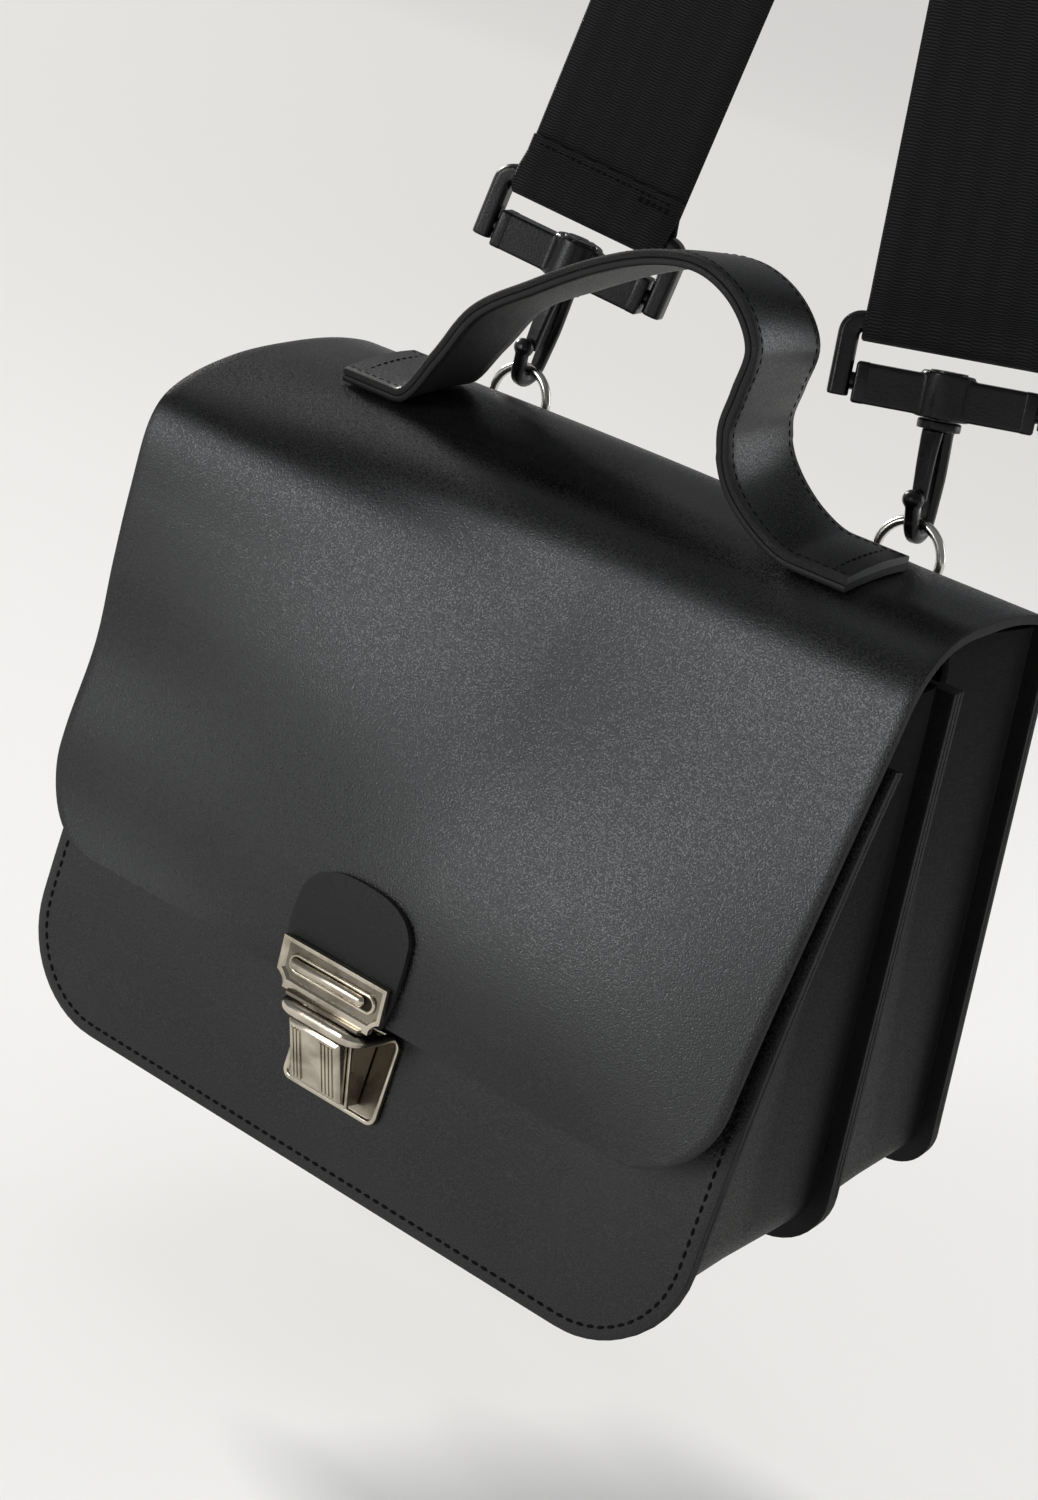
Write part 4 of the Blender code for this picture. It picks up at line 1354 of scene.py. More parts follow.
@dataclass
class Strap:
    """Webbing over a peg, sewn round the bail of each snap hook."""

    wardrobe: Wardrobe
    spacing: float = 0.137
    drop: float = 0.430
    peg: float = 0.012
    width: float = 0.050
    thickness: float = 0.0014
    bail_top: float = 0.050
    bail_depth: float = 0.007
    hem: float = 0.0052
    join: float = 1.75
    twist_start: float = 0.150
    twists: tuple[float, float] = (math.radians(17.0), math.radians(27.0))
    stitch_inset: float = 0.0025
    stitch_drop: float = 0.0020
    box_sides: tuple[float, float] = (0.011, 0.001)
    box_drops: tuple[float, float] = (0.0036, 0.0044)
    stitch: tuple[float, float, float] = (0.0021, 0.0016, 0.00038)

    @property
    def reach(self) -> float:
        """Radius of the webbing's middle round the peg."""
        return self.peg + self.thickness / 2

    @property
    def lean(self) -> float:
        """Angle of a run from upright."""
        across, down = self.spacing / 2, self.drop - self.peg
        return math.atan2(across, down) - math.asin(self.reach / math.hypot(across, down))

    def run_frame(self, side: int) -> Matrix:
        """Space of a hook, with +Z up its run; side is -1 or 1."""
        return Matrix.Translation((side * self.spacing / 2, 0, -self.drop)) @ Matrix.Rotation(-side * self.lean, 4, "Y")

    def sewn_end(self, hem_side: int) -> list[tuple[float, float]]:
        """Webbing round a bail, from the hem to the single run.

        Args:
            hem_side: 1 or -1, for the face that the hem is on.

        Returns:
            Points (n, z), with n out of the webbing and z up the run.
        """
        bend = self.bail_depth / 2 + GAP + self.thickness / 2
        layer = self.thickness + GAP
        join = self.bail_top + self.join * bend
        hem = [(layer, join + self.hem * (1 - i / 4)) for i in range(5)]
        under = arc((0, self.bail_top), bend, 0, -math.pi, 14)
        route = [*hem, (0.93 * bend, self.bail_top + 0.75 * bend), *under, (-0.85 * bend, self.bail_top + 0.7 * bend),
                 (0, join)]
        return [(hem_side * n, z) for n, z in route]

    def run(self, side: int, twist: float, hem_side: int) -> tuple[list[Vector], list[Vector]]:
        """One run, from its hem to the peg.

        Args:
            side: -1 for the left run, 1 for the right.
            twist: turn of the bail about the run.
            hem_side: 1 or -1, for the face that the hem is on.

        Returns:
            The route's points, and the direction of the width at each.
        """
        across, down = self.spacing / 2, self.drop - self.peg
        straight = math.sqrt(across**2 + down**2 - self.reach**2)
        route = [(n, z, twist) for n, z in self.sewn_end(hem_side)]
        steps = 60
        for i in range(steps + 1):
            share = i / steps
            turn = twist + (math.pi / 2 - twist) * share * share * (3 - 2 * share)
            route.append((0.0, self.twist_start + (straight - self.twist_start) * share, turn))
        space = self.run_frame(side)
        points, widths = [], []
        for n, z, turn in route:
            points.append(space @ Vector((-math.sin(turn) * n, math.cos(turn) * n, z)))
            widths.append(space.to_3x3() @ Vector((math.cos(turn), math.sin(turn), 0)))
        return points, widths

    def build(self) -> None:
        """Builds the webbing."""
        left, left_widths = self.run(-1, self.twists[0], -1)
        right, right_widths = self.run(1, self.twists[1], 1)
        crown = arc((0, -self.peg), self.reach, math.pi - self.lean, self.lean, 16)[1:-1]
        points = left + [Vector((x, 0, z)) for x, z in crown] + right[::-1]
        widths = left_widths + [Vector((0, 1, 0))] * len(crown) + right_widths[::-1]
        item = Bench.strip("ribbed_strap", points, widths, self.width, self.thickness)
        self.wardrobe.dress(item, Finish.WEBBING, Finish.WEBBING)
        Bench.smooth(item, 50.0)
        settle(item, "strap", "webbing", "strap_webbing")
        self.add_hem_stitches()

    def add_hem_stitches(self) -> None:
        """Row of stitches under the left hem's edge, and a small sewn box at its right end."""
        space = self.run_frame(-1) @ Matrix.Rotation(self.twists[0], 4, "Z")
        bend = self.bail_depth / 2 + GAP + self.thickness / 2
        top = self.bail_top + self.join * bend + self.hem
        face = -(self.thickness * 1.5 + GAP)
        out = space.to_3x3() @ Vector((0, -1, 0))
        half = self.width / 2 - self.stitch_inset
        inner, outer = (half - distance for distance in self.box_sides)
        upper, lower = (top - distance for distance in self.box_drops)
        rows = {"hem_stitches": [(-half, top - self.stitch_drop), (half, top - self.stitch_drop)],
                "hem_box_stitches": [(inner, upper), (outer, upper), (outer, lower), (inner, lower)]}
        for name, corners in rows.items():
            points = []
            for (ax, az), (bx, bz) in zip(corners, corners[1:]):
                points += [space @ Vector((ax + (bx - ax) * i / 8, face, az + (bz - az) * i / 8)) for i in range(8)]
            points.append(space @ Vector((corners[-1][0], face, corners[-1][1])))
            item = Bench.seam(name, points, [out] * len(points), *self.stitch)
            self.wardrobe.dress(item, Finish.THREAD)
            settle(item, "strap", "webbing")


@dataclass
class Rings:
    """Wire D-rings and the leather loops that keep them."""

    space: BagSpace
    wardrobe: Wardrobe
    spacing: float = 0.137
    drop: float = 0.430
    wire: float = 0.0028
    width: float = 0.020
    height: float = 0.020
    loop_width: float = 0.014
    loop_leather: float = 0.0015
    clearance: float = 0.0004
    tail: float = 0.026

    def build(self) -> None:
        """Builds both rings and both loops."""
        for side, name in ((-1, "left"), (1, "right")):
            self.add_ring(name, side * self.spacing / 2)
            self.add_loop(name, side * self.spacing / 2)

    def add_ring(self, name: str, x: float) -> None:
        """Wire ring, from a round bar swept along its outline.

        Args:
            name: the side's name.
            x: place across.
        """
        half, bend = self.width / 2, self.wire * 0.9
        right = [(0, -self.height), *arc((half - bend, bend - self.height), bend, -math.pi / 2, 0, 6),
                 *arc((0, -half), half, 0, math.pi / 2, 16)]
        outline = right + [(-a, b) for a, b in reversed(right[1:-1])]
        points = [Vector((x + a, 0, b - self.drop)) for a, b in outline]
        item = Bench.wire(f"ring_wire_{name}", points, self.wire / 2, closed=True)
        self.wardrobe.dress(item, Finish.WIRE)
        settle(item, "d_rings", "steel", f"d_ring_{name}")

    def add_loop(self, name: str, x: float) -> None:
        """Leather strip folded round a ring's bar.

        Args:
            name: the side's name.
            x: place across.
        """
        depth, height = self.space.bar_depth, self.space.bar_height
        radius = self.wire / 2 + self.clearance + self.loop_leather / 2
        low, waist = height - self.tail, height - 3.2 * radius
        inner = depth - radius
        outer = inner + self.loop_leather + GAP
        bend = arc((depth, height), radius, math.pi, 0, 16)
        route = [(inner, low), (inner, (low + waist) / 2), (inner, waist), *bend,
                 (depth + radius, height - radius * 0.8), (outer + 0.4 * radius, waist + 0.5 * radius),
                 (outer, waist - 0.5 * radius), (outer, (low + waist) / 2), (outer, low)]
        points = [self.space.at(x, y, z) for y, z in route]
        item = Bench.strip(f"ring_loop_{name}", points, [Vector((1, 0, 0))] * len(points), self.loop_width,
                           self.loop_leather)
        self.wardrobe.dress(item, Finish.MATT_LEATHER, Finish.SUEDE)
        Bench.smooth(item, 50.0)
        settle(item, "bag", "leather", f"ring_keeper_{name}")


@dataclass
class Lock:
    """Push lock: plate, roll bar, housing and button on the bag, tab and strike plate on the flap."""

    space: BagSpace
    wardrobe: Wardrobe
    flap: Flap
    front: Panel
    height: float = 0.035
    plate: tuple[float, float, float] = (0.034, 0.026, 0.0014)
    plate_corner: float = 0.003
    plate_rim: float = 0.0011
    housing: tuple[float, float, float] = (0.0105, -0.0098, 0.0099)
    housing_fronts: tuple[float, float] = (0.0070, 0.0142)
    housing_lip: float = 0.0013
    button: tuple[float, float, float] = (0.0092, -0.0085, 0.0099)
    button_fronts: tuple[float, float] = (0.0084, 0.0176)
    button_step: float = 0.0010
    ribs: tuple[float, ...] = (-0.0072, -0.0060, -0.0048, 0.0030, 0.0043, 0.0056, 0.0069)
    roll: tuple[float, float, float] = (0.0136, 0.0124, 0.0173)
    roll_radius: float = 0.0022
    roll_bend: float = 0.0046
    tab: tuple[float, float, float] = (0.020, 0.0330, 0.014)
    tab_leather: float = 0.0018
    strike: tuple[float, float, float, float] = (0.0185, 0.0066, 0.0024, 0.0042)
    strike_middle: float = 0.0054
    notch: float = 0.0030
    slot: tuple[float, float] = (0.0150, 0.0024)
    slot_wire: float = 0.00055
    slot_lift: float = 0.00005
    slot_bar: tuple[float, float] = (0.0017, 0.0011)
    recess: float = 0.0010
    plate_step: tuple[float, float] = (0.0004, -0.0005)
    housing_step: float = 0.0006
    housing_wall: float = 0.0010
    housing_depth: float = 0.004
    button_foot: float = 0.0048
    rib_half: float = 0.00042
    rib_rise: tuple[float, float] = (-0.0004, 0.00045)
    strike_rim: float = 0.0012
    strike_foot: float = 0.0012
    strike_step: tuple[float, float] = (0.0006, -0.0009)
    lip: float = 0.0009
    lip_inset: float = 0.0008
    lip_knees: tuple[float, float] = (0.0002, 0.0022)
    backer: float = 0.0010
    backer_corner: float = 0.002
    plate_round: float = 0.00022
    housing_round: float = 0.0003
    button_round: float = 0.0002
    strike_round: float = 0.00018
    lip_taper: float = 0.12

    @property
    def lock_space(self) -> Matrix:
        """Space of the base plate, with x across, y up the panel and z out of it.

        Returns:
            The space's matrix.
        """
        step = self.plate[1] / 4
        up = (self.front.spot(0, self.height + step, 0) - self.front.spot(0, self.height - step, 0)).normalized()
        across = Vector((1, 0, 0))
        place = Matrix((across, up, across.cross(up))).transposed().to_4x4()
        place.translation = self.front.spot(0, self.height, 0)
        return self.space.matrix @ place

    def build(self) -> None:
        """Builds every visible piece of the lock and dresses the hidden ones."""
        for item, body, node in ((self.base_plate(), "bag", "lock_base_plate"),
                                 (self.roll_bar(), "bag", "lock_roll_bar"),
                                 (self.button_case(), "bag", "lock_housing"),
                                 (self.push_button(), "lock_button", "lock_button")):
            Bench.seat(item, self.lock_space)
            self.wardrobe.dress(item, Finish.NICKEL, Finish.SHADED)
            settle(item, body, "nickel", node)
        hasp = self.flap.seat_at(0.0, self.flap.length - self.strike_middle)
        for item, node in ((self.strike_face(), "strike_plate"), (self.strike_bar(), "strike_rib"),
                           (self.strike_back(), "strike_backer")):
            Bench.seat(item, hasp)
            if node == "strike_plate":
                Bench.join(item, self.strike_lip())
            self.wardrobe.dress(item, Finish.NICKEL, Finish.TARNISH, Finish.SHADED)
            settle(item, "flap_front", "nickel", node)
        settle(self.leather_tab(), "flap_front", "leather", "lock_tab")
        for node in ("lock_backer", "lock_catch"):
            self.wardrobe.dress(frame["nodes"][node], Finish.NICKEL)

    def base_plate(self) -> bpy.types.Object:
        """Plate with round corners and a raised rim.

        Returns:
            The piece, in the lock's or the strike plate's own space.
        """
        wide, tall, thick = self.plate
        item = Bench.block("lock_plate", (-wide / 2, -tall / 2, GAP), (wide / 2, tall / 2, GAP + thick))
        Bench.choose(item, "EDGE", lambda middle, way: abs(way.z) > 0.9)
        bpy.ops.mesh.bevel(offset=self.plate_corner, segments=6, affect="EDGES")
        Bench.done()
        Bench.choose(item, "FACE", lambda middle, normal: normal.z > 0.9)
        bpy.ops.mesh.inset(thickness=self.plate_rim)
        bpy.ops.mesh.inset(thickness=self.plate_step[0], depth=self.plate_step[1])
        Bench.done()
        Bench.soften(item, self.plate_round, 2)
        # The recessed floor takes the second finish, a darker nickel: painted shade in the recess.
        Bench.mark(item, 1, lambda middle, normal: normal.z > 0.9 and middle.z < GAP + thick - 0.0003)
        return item

    def roll_bar(self) -> bpy.types.Object:
        """Rounded bar over the button, bent back to the plate at both ends.

        Returns:
            The piece, in the lock's or the strike plate's own space.
        """
        reach, high, out = self.roll
        bend = arc((self.roll_bend - reach, out - self.roll_bend), self.roll_bend, math.pi, math.pi / 2, 8)
        foot = GAP + self.plate[2]
        left = [(-reach, foot), (-reach, (foot + bend[0][1]) / 2), *bend, (-reach / 3, out)]
        route = left + [(-x, z) for x, z in reversed(left)]
        swell = [0.62, 0.66, *[0.70 + 0.30 * i / 8 for i in range(9)], 1.0]
        points = [Vector((x, high, z)) for x, z in route]
        return Bench.wire("lock_roll", points, self.roll_radius, swell + swell[::-1])

    def wedge(self, name: str, half: float, low: float, high: float, foot: float,
              fronts: tuple[float, float]) -> bpy.types.Object:
        """Block whose front stands further out at the top than at the bottom.

        Args:
            name: the object's name.
            half: half of its width.
            low: its lower edge.
            high: its upper edge.
            foot: height of its back.
            fronts: height of its front at the lower and the upper edge.

        Returns:
            The block.
        """
        item = Bench.block(name, (-half, low, foot), (half, high, fronts[0]))
        Bench.choose(item, "VERT", lambda spot, normal: spot.z > foot + 1e-6 and spot.y > (low + high) / 2)
        bpy.ops.transform.translate(value=(0, 0, fronts[1] - fronts[0]))
        Bench.done()
        return item

    def button_case(self) -> bpy.types.Object:
        """Open housing with a lip round its mouth.

        Returns:
            The piece, in the lock's or the strike plate's own space.
        """
        half, low, high = self.housing
        lip = self.housing_lip
        step = self.housing_step
        item = self.wedge("lock_case", half - step, low + step, high, self.plate[2] + GAP - 0.0002,
                          (self.housing_fronts[0] - lip, self.housing_fronts[1] - lip))
        Bench.choose(item, "FACE", lambda middle, normal: normal.z > 0.5)
        Bench.extrude((0, 0, 0))
        bpy.ops.transform.resize(value=(half / (half - step), 1.03, 1.0), center_override=(0, high, 0))
        Bench.extrude((0, 0, lip))
        bpy.ops.mesh.inset(thickness=self.housing_wall)
        Bench.extrude((0, 0, -self.housing_depth))
        Bench.done()
        Bench.outward(item)
        Bench.soften(item, self.housing_round, 3)
        # Walls and insides take the second finish, a darker nickel: painted shade on the housing's walls.
        Bench.mark(item, 1, lambda middle, normal: normal.z < 0.3)
        return item

    def push_button(self) -> bpy.types.Object:
        """Sloping button with a bevelled face, three ribs to the left of a plain strip and four to the right.

        Returns:
            The piece, in the lock's or the strike plate's own space.
        """
        half, low, high = self.button
        item = self.wedge("lock_push", half, low, high, self.button_foot, self.button_fronts)
        Bench.choose(item, "FACE", lambda middle, normal: normal.z > 0.5)
        bpy.ops.mesh.inset(thickness=self.button_step, depth=self.button_step)
        Bench.done()
        Bench.soften(item, self.button_round, 2)
        rise = self.button_fronts[1] - self.button_fronts[0]
        slope = math.atan2(rise, high - low)
        length = math.hypot(rise, high - low) - 3.2 * self.button_step
        face = Vector((0, (low + high) / 2, sum(self.button_fronts) / 2))
        face += Vector((0, -math.sin(slope), math.cos(slope))) * self.button_step
        bars = []
        for i, x in enumerate(self.ribs):
            rib = Bench.block(f"button_rib_{i}", (-self.rib_half, -length / 2, self.rib_rise[0]),
                              (self.rib_half, length / 2, self.rib_rise[1]))
            Bench.soften(rib, self.button_round, 2)
            Bench.seat(rib, Matrix.Translation(face + Vector((x, 0, 0))) @ Matrix.Rotation(slope, 4, "X"))
            bars.append(rib)
        return Bench.join(item, *bars)

    def strike_face(self) -> bpy.types.Object:
        """Strike plate: a bevelled rim round a recess, notched lower corners and a raised oblong slot.

        Returns:
            The piece, in the lock's or the strike plate's own space.
        """
        half, tall, low, high = self.strike
        item = Bench.block("strike_face", (-half, -tall, low), (half, tall, high))
        Bench.choose(item, "EDGE", lambda middle, way: abs(way.z) > 0.9 and middle.y < 0)
        bpy.ops.mesh.bevel(offset=self.notch, segments=5, profile=0.15, affect="EDGES")
        Bench.done()
        Bench.choose(item, "FACE", lambda middle, normal: normal.y < -0.95)
        Bench.extrude((0, -self.strike_foot, 0))
        Bench.done()
        Bench.choose(item, "FACE", lambda middle, normal: normal.z > 0.9 and middle.y > -tall)
        bpy.ops.mesh.inset(thickness=self.strike_rim, depth=-0.0001)
        bpy.ops.mesh.inset(thickness=self.strike_step[0], depth=self.strike_step[1])
        Bench.done()
        Bench.soften(item, self.strike_round, 2)
        reach, radius = self.slot
        loop = arc((reach - radius, 0), radius, -math.pi / 2, math.pi / 2, 10)
        loop += [(-x, y) for x, y in reversed(loop)]
        floor = high - self.recess
        ring = Bench.wire("slot_ring", [Vector((x, y, floor + 0.0002)) for x, y in loop], self.slot_wire, closed=True)
        # A flat sheet just above the recess floor fills the slot; it is dressed near-black as painted shadow in the
        # slot.
        Bench.clear()
        bpy.ops.mesh.primitive_circle_add(vertices=40, radius=radius, fill_type="NGON",
                                          location=(0, 0, floor + self.slot_lift))
        hole = Bench.named("slot_shadow_sheet")
        for side in (-1, 1):
            Bench.choose(hole, "VERT", lambda spot, normal: spot.x * side > 1e-5)
            bpy.ops.transform.translate(value=(side * (reach - radius), 0, 0))
            Bench.done()
        for piece in (item, ring, hole):
            self.wardrobe.dress(piece, Finish.NICKEL, Finish.TARNISH, Finish.SHADED)
        # The recess floor takes the third finish, a darker nickel: painted shade in the recess.
        Bench.mark(item, 2, lambda middle, normal: normal.z > 0.9 and middle.z < high - 0.0006)
        # The sheet takes the second finish, a near-black nickel: painted shadow in the slot.
        Bench.mark(hole, 1, lambda middle, normal: True)
        return Bench.join(item, ring, hole)

    def strike_lip(self) -> bpy.types.Object:
        """Lower lip of the strike plate, turned in over the roll bar.

        Returns:
            The lip, in its place.
        """
        high, out = self.roll[1:]
        half, tall, low = self.strike[:3]
        hasp = self.flap.seat_at(0.0, self.flap.length - self.strike_middle)
        into_lock = self.lock_space.inverted() @ hasp
        start, knee = (into_lock @ Vector((0, -tall - reach, low + self.lip)) for reach in self.lip_knees)
        end = Vector((0, high + self.roll_radius + self.lip, out + 0.0002))
        knee.y = max(knee.y, end.y + 0.0003)
        shares = [i / 10 for i in range(11)]
        points = [start * (1 - t) ** 2 + knee * (2 * t * (1 - t)) + end * t**2 for t in shares]
        width = 2 * (half - self.notch - self.lip_inset)
        item = Bench.strip("strike_lip", points, [Vector((1, 0, 0))] * len(points), width, self.lip, rounding=0.3,
                           taper=lambda share: 1.0 - self.lip_taper * share)
        Bench.mark(item, 0, lambda middle, normal: True)
        Bench.smooth(item, 50.0)
        Bench.seat(item, self.lock_space)
        return item

    def strike_bar(self) -> bpy.types.Object:
        """Half-round bar in the slot, short of its right end.

        Returns:
            The piece, in the lock's or the strike plate's own space.
        """
        reach, radius = self.slot
        floor = self.strike[3] - self.recess
        thick, short = self.slot_bar
        item = Bench.ball("strike_bar", thick, (-short, 0, floor + 0.0004), reach - radius - short)
        Bench.smooth(item, 60.0)
        return item

    def strike_back(self) -> bpy.types.Object:
        """Plate behind the flap that the strike plate clamps to.

        Returns:
            The piece, in the lock's or the strike plate's own space.
        """
        half, tall = self.strike[0] - self.notch, self.strike[1]
        rear = -self.flap.thickness - GAP
        item = Bench.block("strike_back", (-half, 0.0004 - self.strike_middle, rear - self.backer), (half, tall, rear))
        Bench.choose(item, "EDGE", lambda middle, way: abs(way.z) > 0.9)
        bpy.ops.mesh.bevel(offset=self.backer_corner, segments=4, affect="EDGES")
        Bench.done()
        Bench.soften(item, self.button_round, 2)
        return item

    def leather_tab(self) -> bpy.types.Object:
        """Leather tab with a round top, lying on the flap.

        Returns:
            The tab, in its place.
        """
        half, reach, corner = self.tab
        start, spread, power = self.flap.length - reach, 1.25, 2.6

        def place(u: float, v: float) -> Vector:
            """Point of the sheet.

            Args:
                u: place across, from -1 to 1.
                v: place along, from -1 to 1.

            Returns:
                The point, in the frame's space.
            """
            t = math.sin(u * spread) / math.sin(spread)
            top = corner * (1 - (1 - min(1.0, abs(t)) ** power) ** (1 / power))
            down = top + (reach - GAP - top) * (1 - v) / 2
            wide = half - self.notch * max(0.0, 2 * down / reach - 1) ** 2
            return self.flap.seat_at(t * wide, start + down) @ Vector((0, 0, GAP + self.tab_leather))
        item = Bench.grid("leather_tab", 36, 40, place)
        self.wardrobe.dress(item, Finish.MATT_LEATHER, Finish.SUEDE)
        out = self.flap.seat_at(0.0, start + corner).to_3x3() @ Vector((0, 0, 1))
        faces_out = sum(face.normal.dot(out) for face in item.data.polygons) > 0
        Bench.thicken(item, self.tab_leather, -1.0 if faces_out else 1.0, even=False)
        Bench.smooth(item, 50.0)
        return item


@dataclass
class SnapHook:
    """Snap hook: a bail in the webbing, a crossbar with a hub, and a swivelling hook with a springy gate."""

    wardrobe: Wardrobe
    strap: Strap
    side: int
    twist: float
    span: float = 0.057
    post: tuple[float, float] = (0.0070, 0.0058)
    top: float = 0.050
    foot: float = 0.0296
    shoulder: float = 0.0034
    bar: tuple[float, float, float] = (0.0080, 0.0284, 0.0394)
    bar_reach: float = 0.0247
    sleeve: float = 0.0040
    neck: float = 0.0024
    hub: tuple[float, float, float] = (0.0072, 0.0280, 0.0405)
    stud: tuple[float, float, float] = (0.0051, 0.0370, 0.0409)
    collar: tuple[float, float, float] = (0.0060, 0.0251, 0.0277)
    spine: tuple[float, float] = (0.0062, 0.0042)
    eye: tuple[float, float] = (0.0046, 0.0007)
    knob: tuple[float, float, float] = (0.0027, -0.0061, 0.0060)
    gate: tuple[float, float] = (0.0062, 0.0024)
    spine_start: tuple[float, float] = (0.0032, 0.0010)
    spine_route: tuple[tuple[float, float], ...] = (
        (0.0035, 0.0215), (0.0038, 0.0170), (0.0042, 0.0120), (0.0045, 0.0070))
    nose_route: tuple[tuple[float, float], ...] = ((0.0006, 0.0018), (0.0012, 0.0036), (0.0016, 0.0052))
    gate_route: tuple[tuple[float, float], ...] = (
        (-0.0029, 0.0251), (-0.0032, 0.0215), (-0.0033, 0.0170), (-0.0031, 0.0120), (-0.0027, 0.0058))
    split: tuple[float, float] = (0.0006, 0.0016)
    fine_grain: float = 0.00036
    gate_taper: float = 0.28
    narrow_from: float = 0.12
    narrow_over: float = 0.12
    narrow_by: float = 0.34
    tip: tuple[float, float] = (0.86, 0.6)
    bar_inset: float = 0.0006
    hub_wall: float = 0.0005
    hub_depth: float = 0.0030
    sleeve_lift: float = 0.0001
    sleeve_round: float = 0.0009
    neck_length: float = 0.0040
    neck_sink: float = 0.0012
    neck_round: float = 0.0003
    stud_round: float = 0.00035

    @property
    def label(self) -> str:
        """Name of the side."""
        return "left" if self.side < 0 else "right"

    def build(self) -> None:
        """Builds all five mouldings."""
        run = self.strap.run_frame(self.side)
        twisted = run @ Matrix.Rotation(self.twist, 4, "Z")
        for item, place, body, node in (
                (self.bail(), twisted, "strap", f"hook_bail_{self.label}"),
                (self.crossbar(), twisted, "strap", f"hook_crossbar_{self.label}"),
                (self.shank(), run, f"hook_{self.label}", f"hook_{self.label}"),
                (self.split_stud(), run, f"hook_{self.label}", None),
                (self.gate_arm(), run, f"gate_{self.label}", f"hook_gate_{self.label}")):
            Bench.seat(item, place)
            self.wardrobe.dress(item, Finish.PLASTIC)
            settle(item, body, "black_plastic", *([node] if node else []))

    def bail(self) -> bpy.types.Object:
        """Two posts and the bar that the webbing is sewn round.

        Returns:
            The moulding, in the hook's own space.
        """
        reach = self.span / 2
        bend = arc((self.shoulder - reach, self.top - self.shoulder), self.shoulder, math.pi, math.pi / 2, 8)
        left = [(-reach, self.foot), (-reach, (self.foot + bend[0][1]) / 2), *bend]
        points = [Vector((x, 0, z)) for x, z in left + [(-x, z) for x, z in reversed(left)]]
        item = Bench.strip(f"bail_{self.label}", points, [Vector((0, 1, 0))] * len(points), *self.post, rounding=0.2)
        Bench.mould(item)
        return item

    def crossbar(self) -> bpy.types.Object:
        """Bar between the posts with a round hub at its middle, a sleeve at each end and a neck into each post.

        Returns:
            The moulding, in the hook's own space.
        """
        deep, low, high = self.bar
        inner, outer = self.bar_reach - self.sleeve, self.bar_reach - self.bar_inset
        item = Bench.block(f"crossbar_{self.label}", (-outer, -deep / 2, low), (outer, deep / 2, high))
        radius, hub_low, hub_high = self.hub
        hub = Bench.turned("hub", radius, hub_low, hub_high)
        Bench.choose(hub, "FACE", lambda middle, normal: normal.z > 0.9)
        bpy.ops.mesh.inset(thickness=radius - self.stud[0] - self.hub_wall)
        Bench.extrude((0, 0, -self.hub_depth))
        Bench.done()
        Bench.mould(Bench.join(item, hub), rounds=9)
        ends = []
        for way in (-1, 1):
            near, far = way * inner, way * self.bar_reach
            end = Bench.block("sleeve", (min(near, far), -deep / 2 - self.sleeve_lift, low - self.sleeve_lift),
                              (max(near, far), deep / 2 + self.sleeve_lift, high + self.sleeve_lift))
            Bench.soften(end, self.sleeve_round, 4)
            neck = Bench.turned("neck", self.neck, 0.0, self.neck_length, 20)
            Bench.soften(neck, self.neck_round, 2)
            Bench.seat(neck, Matrix.Translation((way * (self.bar_reach - self.neck_sink), 0, (low + high) / 2))
                       @ Matrix.Rotation(way * math.pi / 2, 4, "Y"))
            ends += [end, neck]
        return Bench.join(item, *ends)

    def shank(self) -> bpy.types.Object:
        """Collar, spine, round bend and knobbed nose in one moulding.

        Returns:
            The moulding, in the hook's own space.
        """
        radius, middle = self.eye
        collar_radius, collar_low, collar_high = self.collar
        bend = arc((0, middle), radius, 0, -math.pi, 14)
        nose = [(-radius - out, middle + up) for out, up in self.nose_route]
        route = [(self.spine_start[0], collar_low + self.spine_start[1]), *self.spine_route, *bend, *nose]
        points = [Vector((0, y, z)) for y, z in route]
        item = Bench.strip(f"shank_{self.label}", points, [Vector((1, 0, 0))] * len(points), *self.spine,
                           rounding=0.34, taper=self.narrowing)
        collar = Bench.turned("collar", collar_radius, collar_low, collar_high)
        knob_radius, knob_y, knob_z = self.knob
        knob = Bench.ball("knob", knob_radius, (0, knob_y, knob_z), 0.0004)
        Bench.mould(Bench.join(item, collar, knob), self.fine_grain, 6)
        return item

    def narrowing(self, share: float) -> float:
        """Share of the shank's width at a share of its route, narrow in the bend so that it swivels on the ring."""
        bend = min(1.0, max(0.0, (share - self.narrow_from) / self.narrow_over))
        return 1.0 - self.narrow_by * bend - self.tip[1] * max(0.0, share - self.tip[0])

    def split_stud(self) -> bpy.types.Object:
        """Stud's head in the hub, split crosswise in four.

        Returns:
            The moulding, in the hook's own space.
        """
        radius, low, high = self.stud
        item = Bench.turned(f"stud_{self.label}", radius, low, high)
        half, depth = self.split
        for wide, deep in ((radius * 2, half), (half, radius * 2)):
            cutter = Bench.block("split", (-wide, -deep, high - depth), (wide, deep, high + 0.002))
            Bench.change(item, "BOOLEAN", operation="DIFFERENCE", object=cutter, solver="EXACT")
            bpy.data.objects.remove(cutter)
        Bench.soften(item, self.stud_round, 2, 40.0)
        return item

    def gate_arm(self) -> bpy.types.Object:
        """Springy arm from under the collar down to the knob.

        Returns:
            The moulding, in the hook's own space.
        """
        points = [Vector((0, y, z)) for y, z in self.gate_route]
        item = Bench.strip(f"gate_arm_{self.label}", points, [Vector((1, 0, 0))] * len(points), *self.gate,
                           rounding=0.3, taper=lambda share: 1.0 - self.gate_taper * share)
        Bench.mould(item, self.fine_grain, 4)
        return item


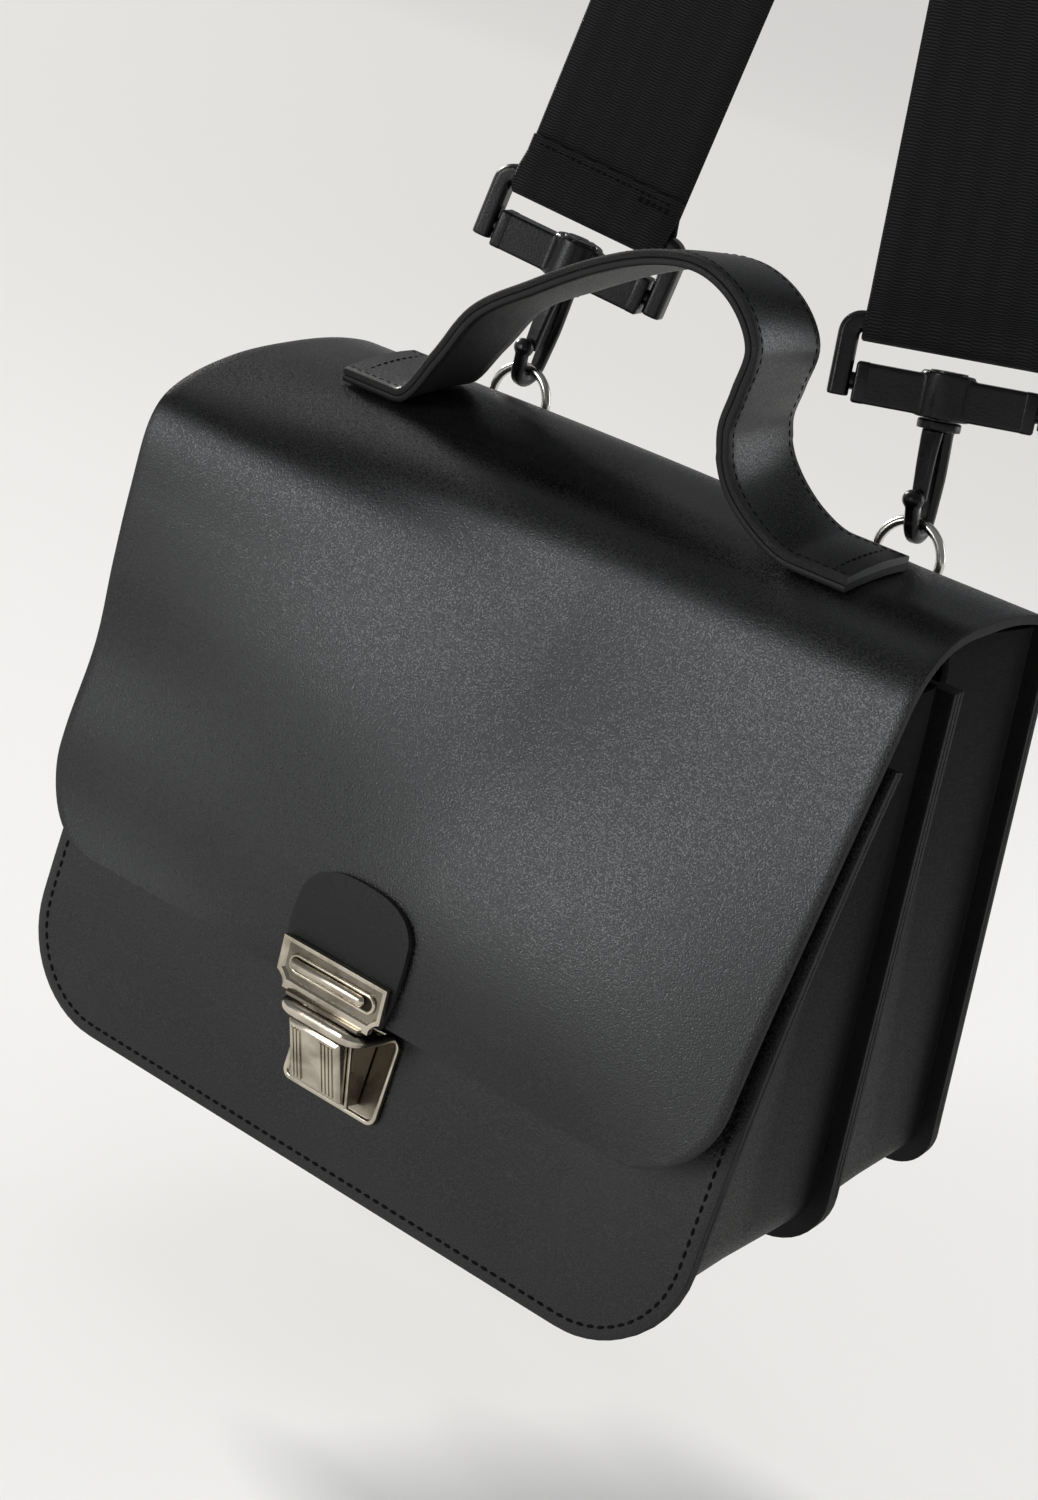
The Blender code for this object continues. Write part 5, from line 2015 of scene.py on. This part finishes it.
@dataclass
class Studio:
    """Pale floor, soft light and the camera."""

    space: BagSpace
    camera_spot: tuple[float, float, float] = (0.3883, -0.6132, 0.4592)
    camera_forward: tuple[float, float, float] = (-0.513, 0.724, -0.461)
    camera_right: tuple[float, float, float] = (0.771, 0.625, 0.123)
    focal_pixels: float = 2736.0
    sensor: float = 36.0
    floor_drop: float = 0.06
    floor_radius: float = 15.0
    rises: int = 14
    rise: float = 0.08
    spread: float = 1.15
    floor_colour: tuple[float, float, float, float] = (0.84, 0.84, 0.835, 1.0)
    sky_colour: tuple[float, float, float, float] = (0.95, 0.97, 1.0, 1.0)
    sky_strength: float = 0.22
    sun_colour: tuple[float, float, float] = (1.0, 0.975, 0.94)
    sun_strength: float = 5.0
    sun_angle: float = math.radians(12.0)
    sun_way: tuple[float, float, float] = (0.90, -0.20, -0.39)
    lamp_colour: tuple[float, float, float] = (0.96, 0.98, 1.0)
    lamp_aim: tuple[float, float, float] = (0.0, -0.09, -0.53)
    lamp_distance: float = 1.7

    def build(self) -> None:
        """Builds the floor, the light and the camera."""
        self.add_floor()
        self.add_light()
        self.add_camera()
        bpy.context.scene.view_settings.view_transform = "Standard"

    def add_floor(self) -> None:
        """Wide pale floor under the bag, turned up at its far rim."""
        Bench.clear()
        height = CAD_BOX[0][2] - self.floor_drop
        bpy.ops.mesh.primitive_circle_add(vertices=96, radius=self.floor_radius, fill_type="NGON",
                                          location=(0, 0, height))
        floor = bpy.context.object
        floor.name = "studio_floor"
        Bench.choose(floor, "EDGE", lambda middle, way: True)
        for i in range(1, self.rises + 1):
            bpy.ops.mesh.extrude_edges_move(TRANSFORM_OT_translate={"value": (0, 0, self.rise * i)})
            bpy.ops.transform.resize(value=(self.spread, self.spread, 1.0), center_override=(0, 0, 0))
        Bench.done()
        Bench.smooth(floor, 60.0)
        surface = Surface("pale_floor")
        floor.data.materials.append(surface.set(Base_Color=self.floor_colour, Roughness=0.9))

    def add_light(self) -> None:
        """Low sun from the left, a window's sheen from the front left, a wall's glow, a ceiling and an even sky."""
        world = bpy.data.worlds.new("studio_sky")
        world.use_nodes = True
        sky = world.node_tree.nodes["Background"]
        sky.inputs["Color"].default_value = self.sky_colour
        sky.inputs["Strength"].default_value = self.sky_strength
        bpy.context.scene.world = world
        sun = bpy.data.lights.new("window_sun", "SUN")
        sun.energy = self.sun_strength
        sun.angle = self.sun_angle
        sun.color = self.sun_colour
        item = Bench.linked("window_sun", sun)
        item.rotation_euler = Vector(self.sun_way).to_track_quat("-Z", "Y").to_euler()
        self.add_panel("window_sheen", (-0.38, -0.90, 0.22), (0.40, 0.9), 13.0)
        self.add_panel("wall_glow", (0.55, 0.78, 0.32), (0.8, 0.8), 6.0)
        self.add_panel("ceiling", (-0.35, 0.03, 0.93), (1.0, 1.0), 1.6)

    def add_panel(self, name: str, way: Sequence[float], size: tuple[float, float], power: float) -> None:
        """Soft light in a rectangle, turned to the bag.

        Args:
            name: the lamp's name.
            way: direction from the bag to the lamp.
            size: width and height of the lamp.
            power: its power in watts.
        """
        lamp = bpy.data.lights.new(name, "AREA")
        lamp.shape = "RECTANGLE"
        lamp.size, lamp.size_y = size
        lamp.energy = power
        lamp.color = self.lamp_colour
        item = Bench.linked(name, lamp)
        aim = Vector(way).normalized()
        item.location = Vector(self.lamp_aim) + aim * self.lamp_distance
        item.rotation_euler = (-aim).to_track_quat("-Z", "Y").to_euler()

    def add_camera(self) -> None:
        """Camera at the photograph's view."""
        forward = Vector(self.camera_forward).normalized()
        up = Vector(self.camera_right).cross(forward).normalized()
        right = forward.cross(up)
        turn = Matrix((right, up, -forward)).transposed().to_4x4()
        turn.translation = Vector(self.camera_spot)
        lens = bpy.data.cameras.new("view_camera")
        lens.clip_end = 1000.0
        lens.sensor_fit = "VERTICAL"
        lens.sensor_height = self.sensor
        lens.lens = self.focal_pixels * self.sensor / PHOTO_HEIGHT
        item = Bench.linked("view_camera", lens)
        item.matrix_world = self.space.matrix @ turn
        bpy.context.scene.camera = item


def main() -> None:
    """Builds the satchel, its light and its camera."""
    logging.basicConfig(level=logging.INFO, format="%(name)s: %(message)s")
    space, wardrobe = BagSpace(), Wardrobe()
    Studio(space).build()
    body, flap, strap = BagBody(space, wardrobe), Flap(space, wardrobe), Strap(wardrobe)
    body.build()
    flap.build()
    Handle(space, wardrobe).build()
    Lock(space, wardrobe, flap, body.front).build()
    strap.build()
    Rings(space, wardrobe).build()
    for side, twist in zip((-1, 1), strap.twists):
        SnapHook(wardrobe, strap, side, twist).build()


if __name__ == "__main__":
    main()
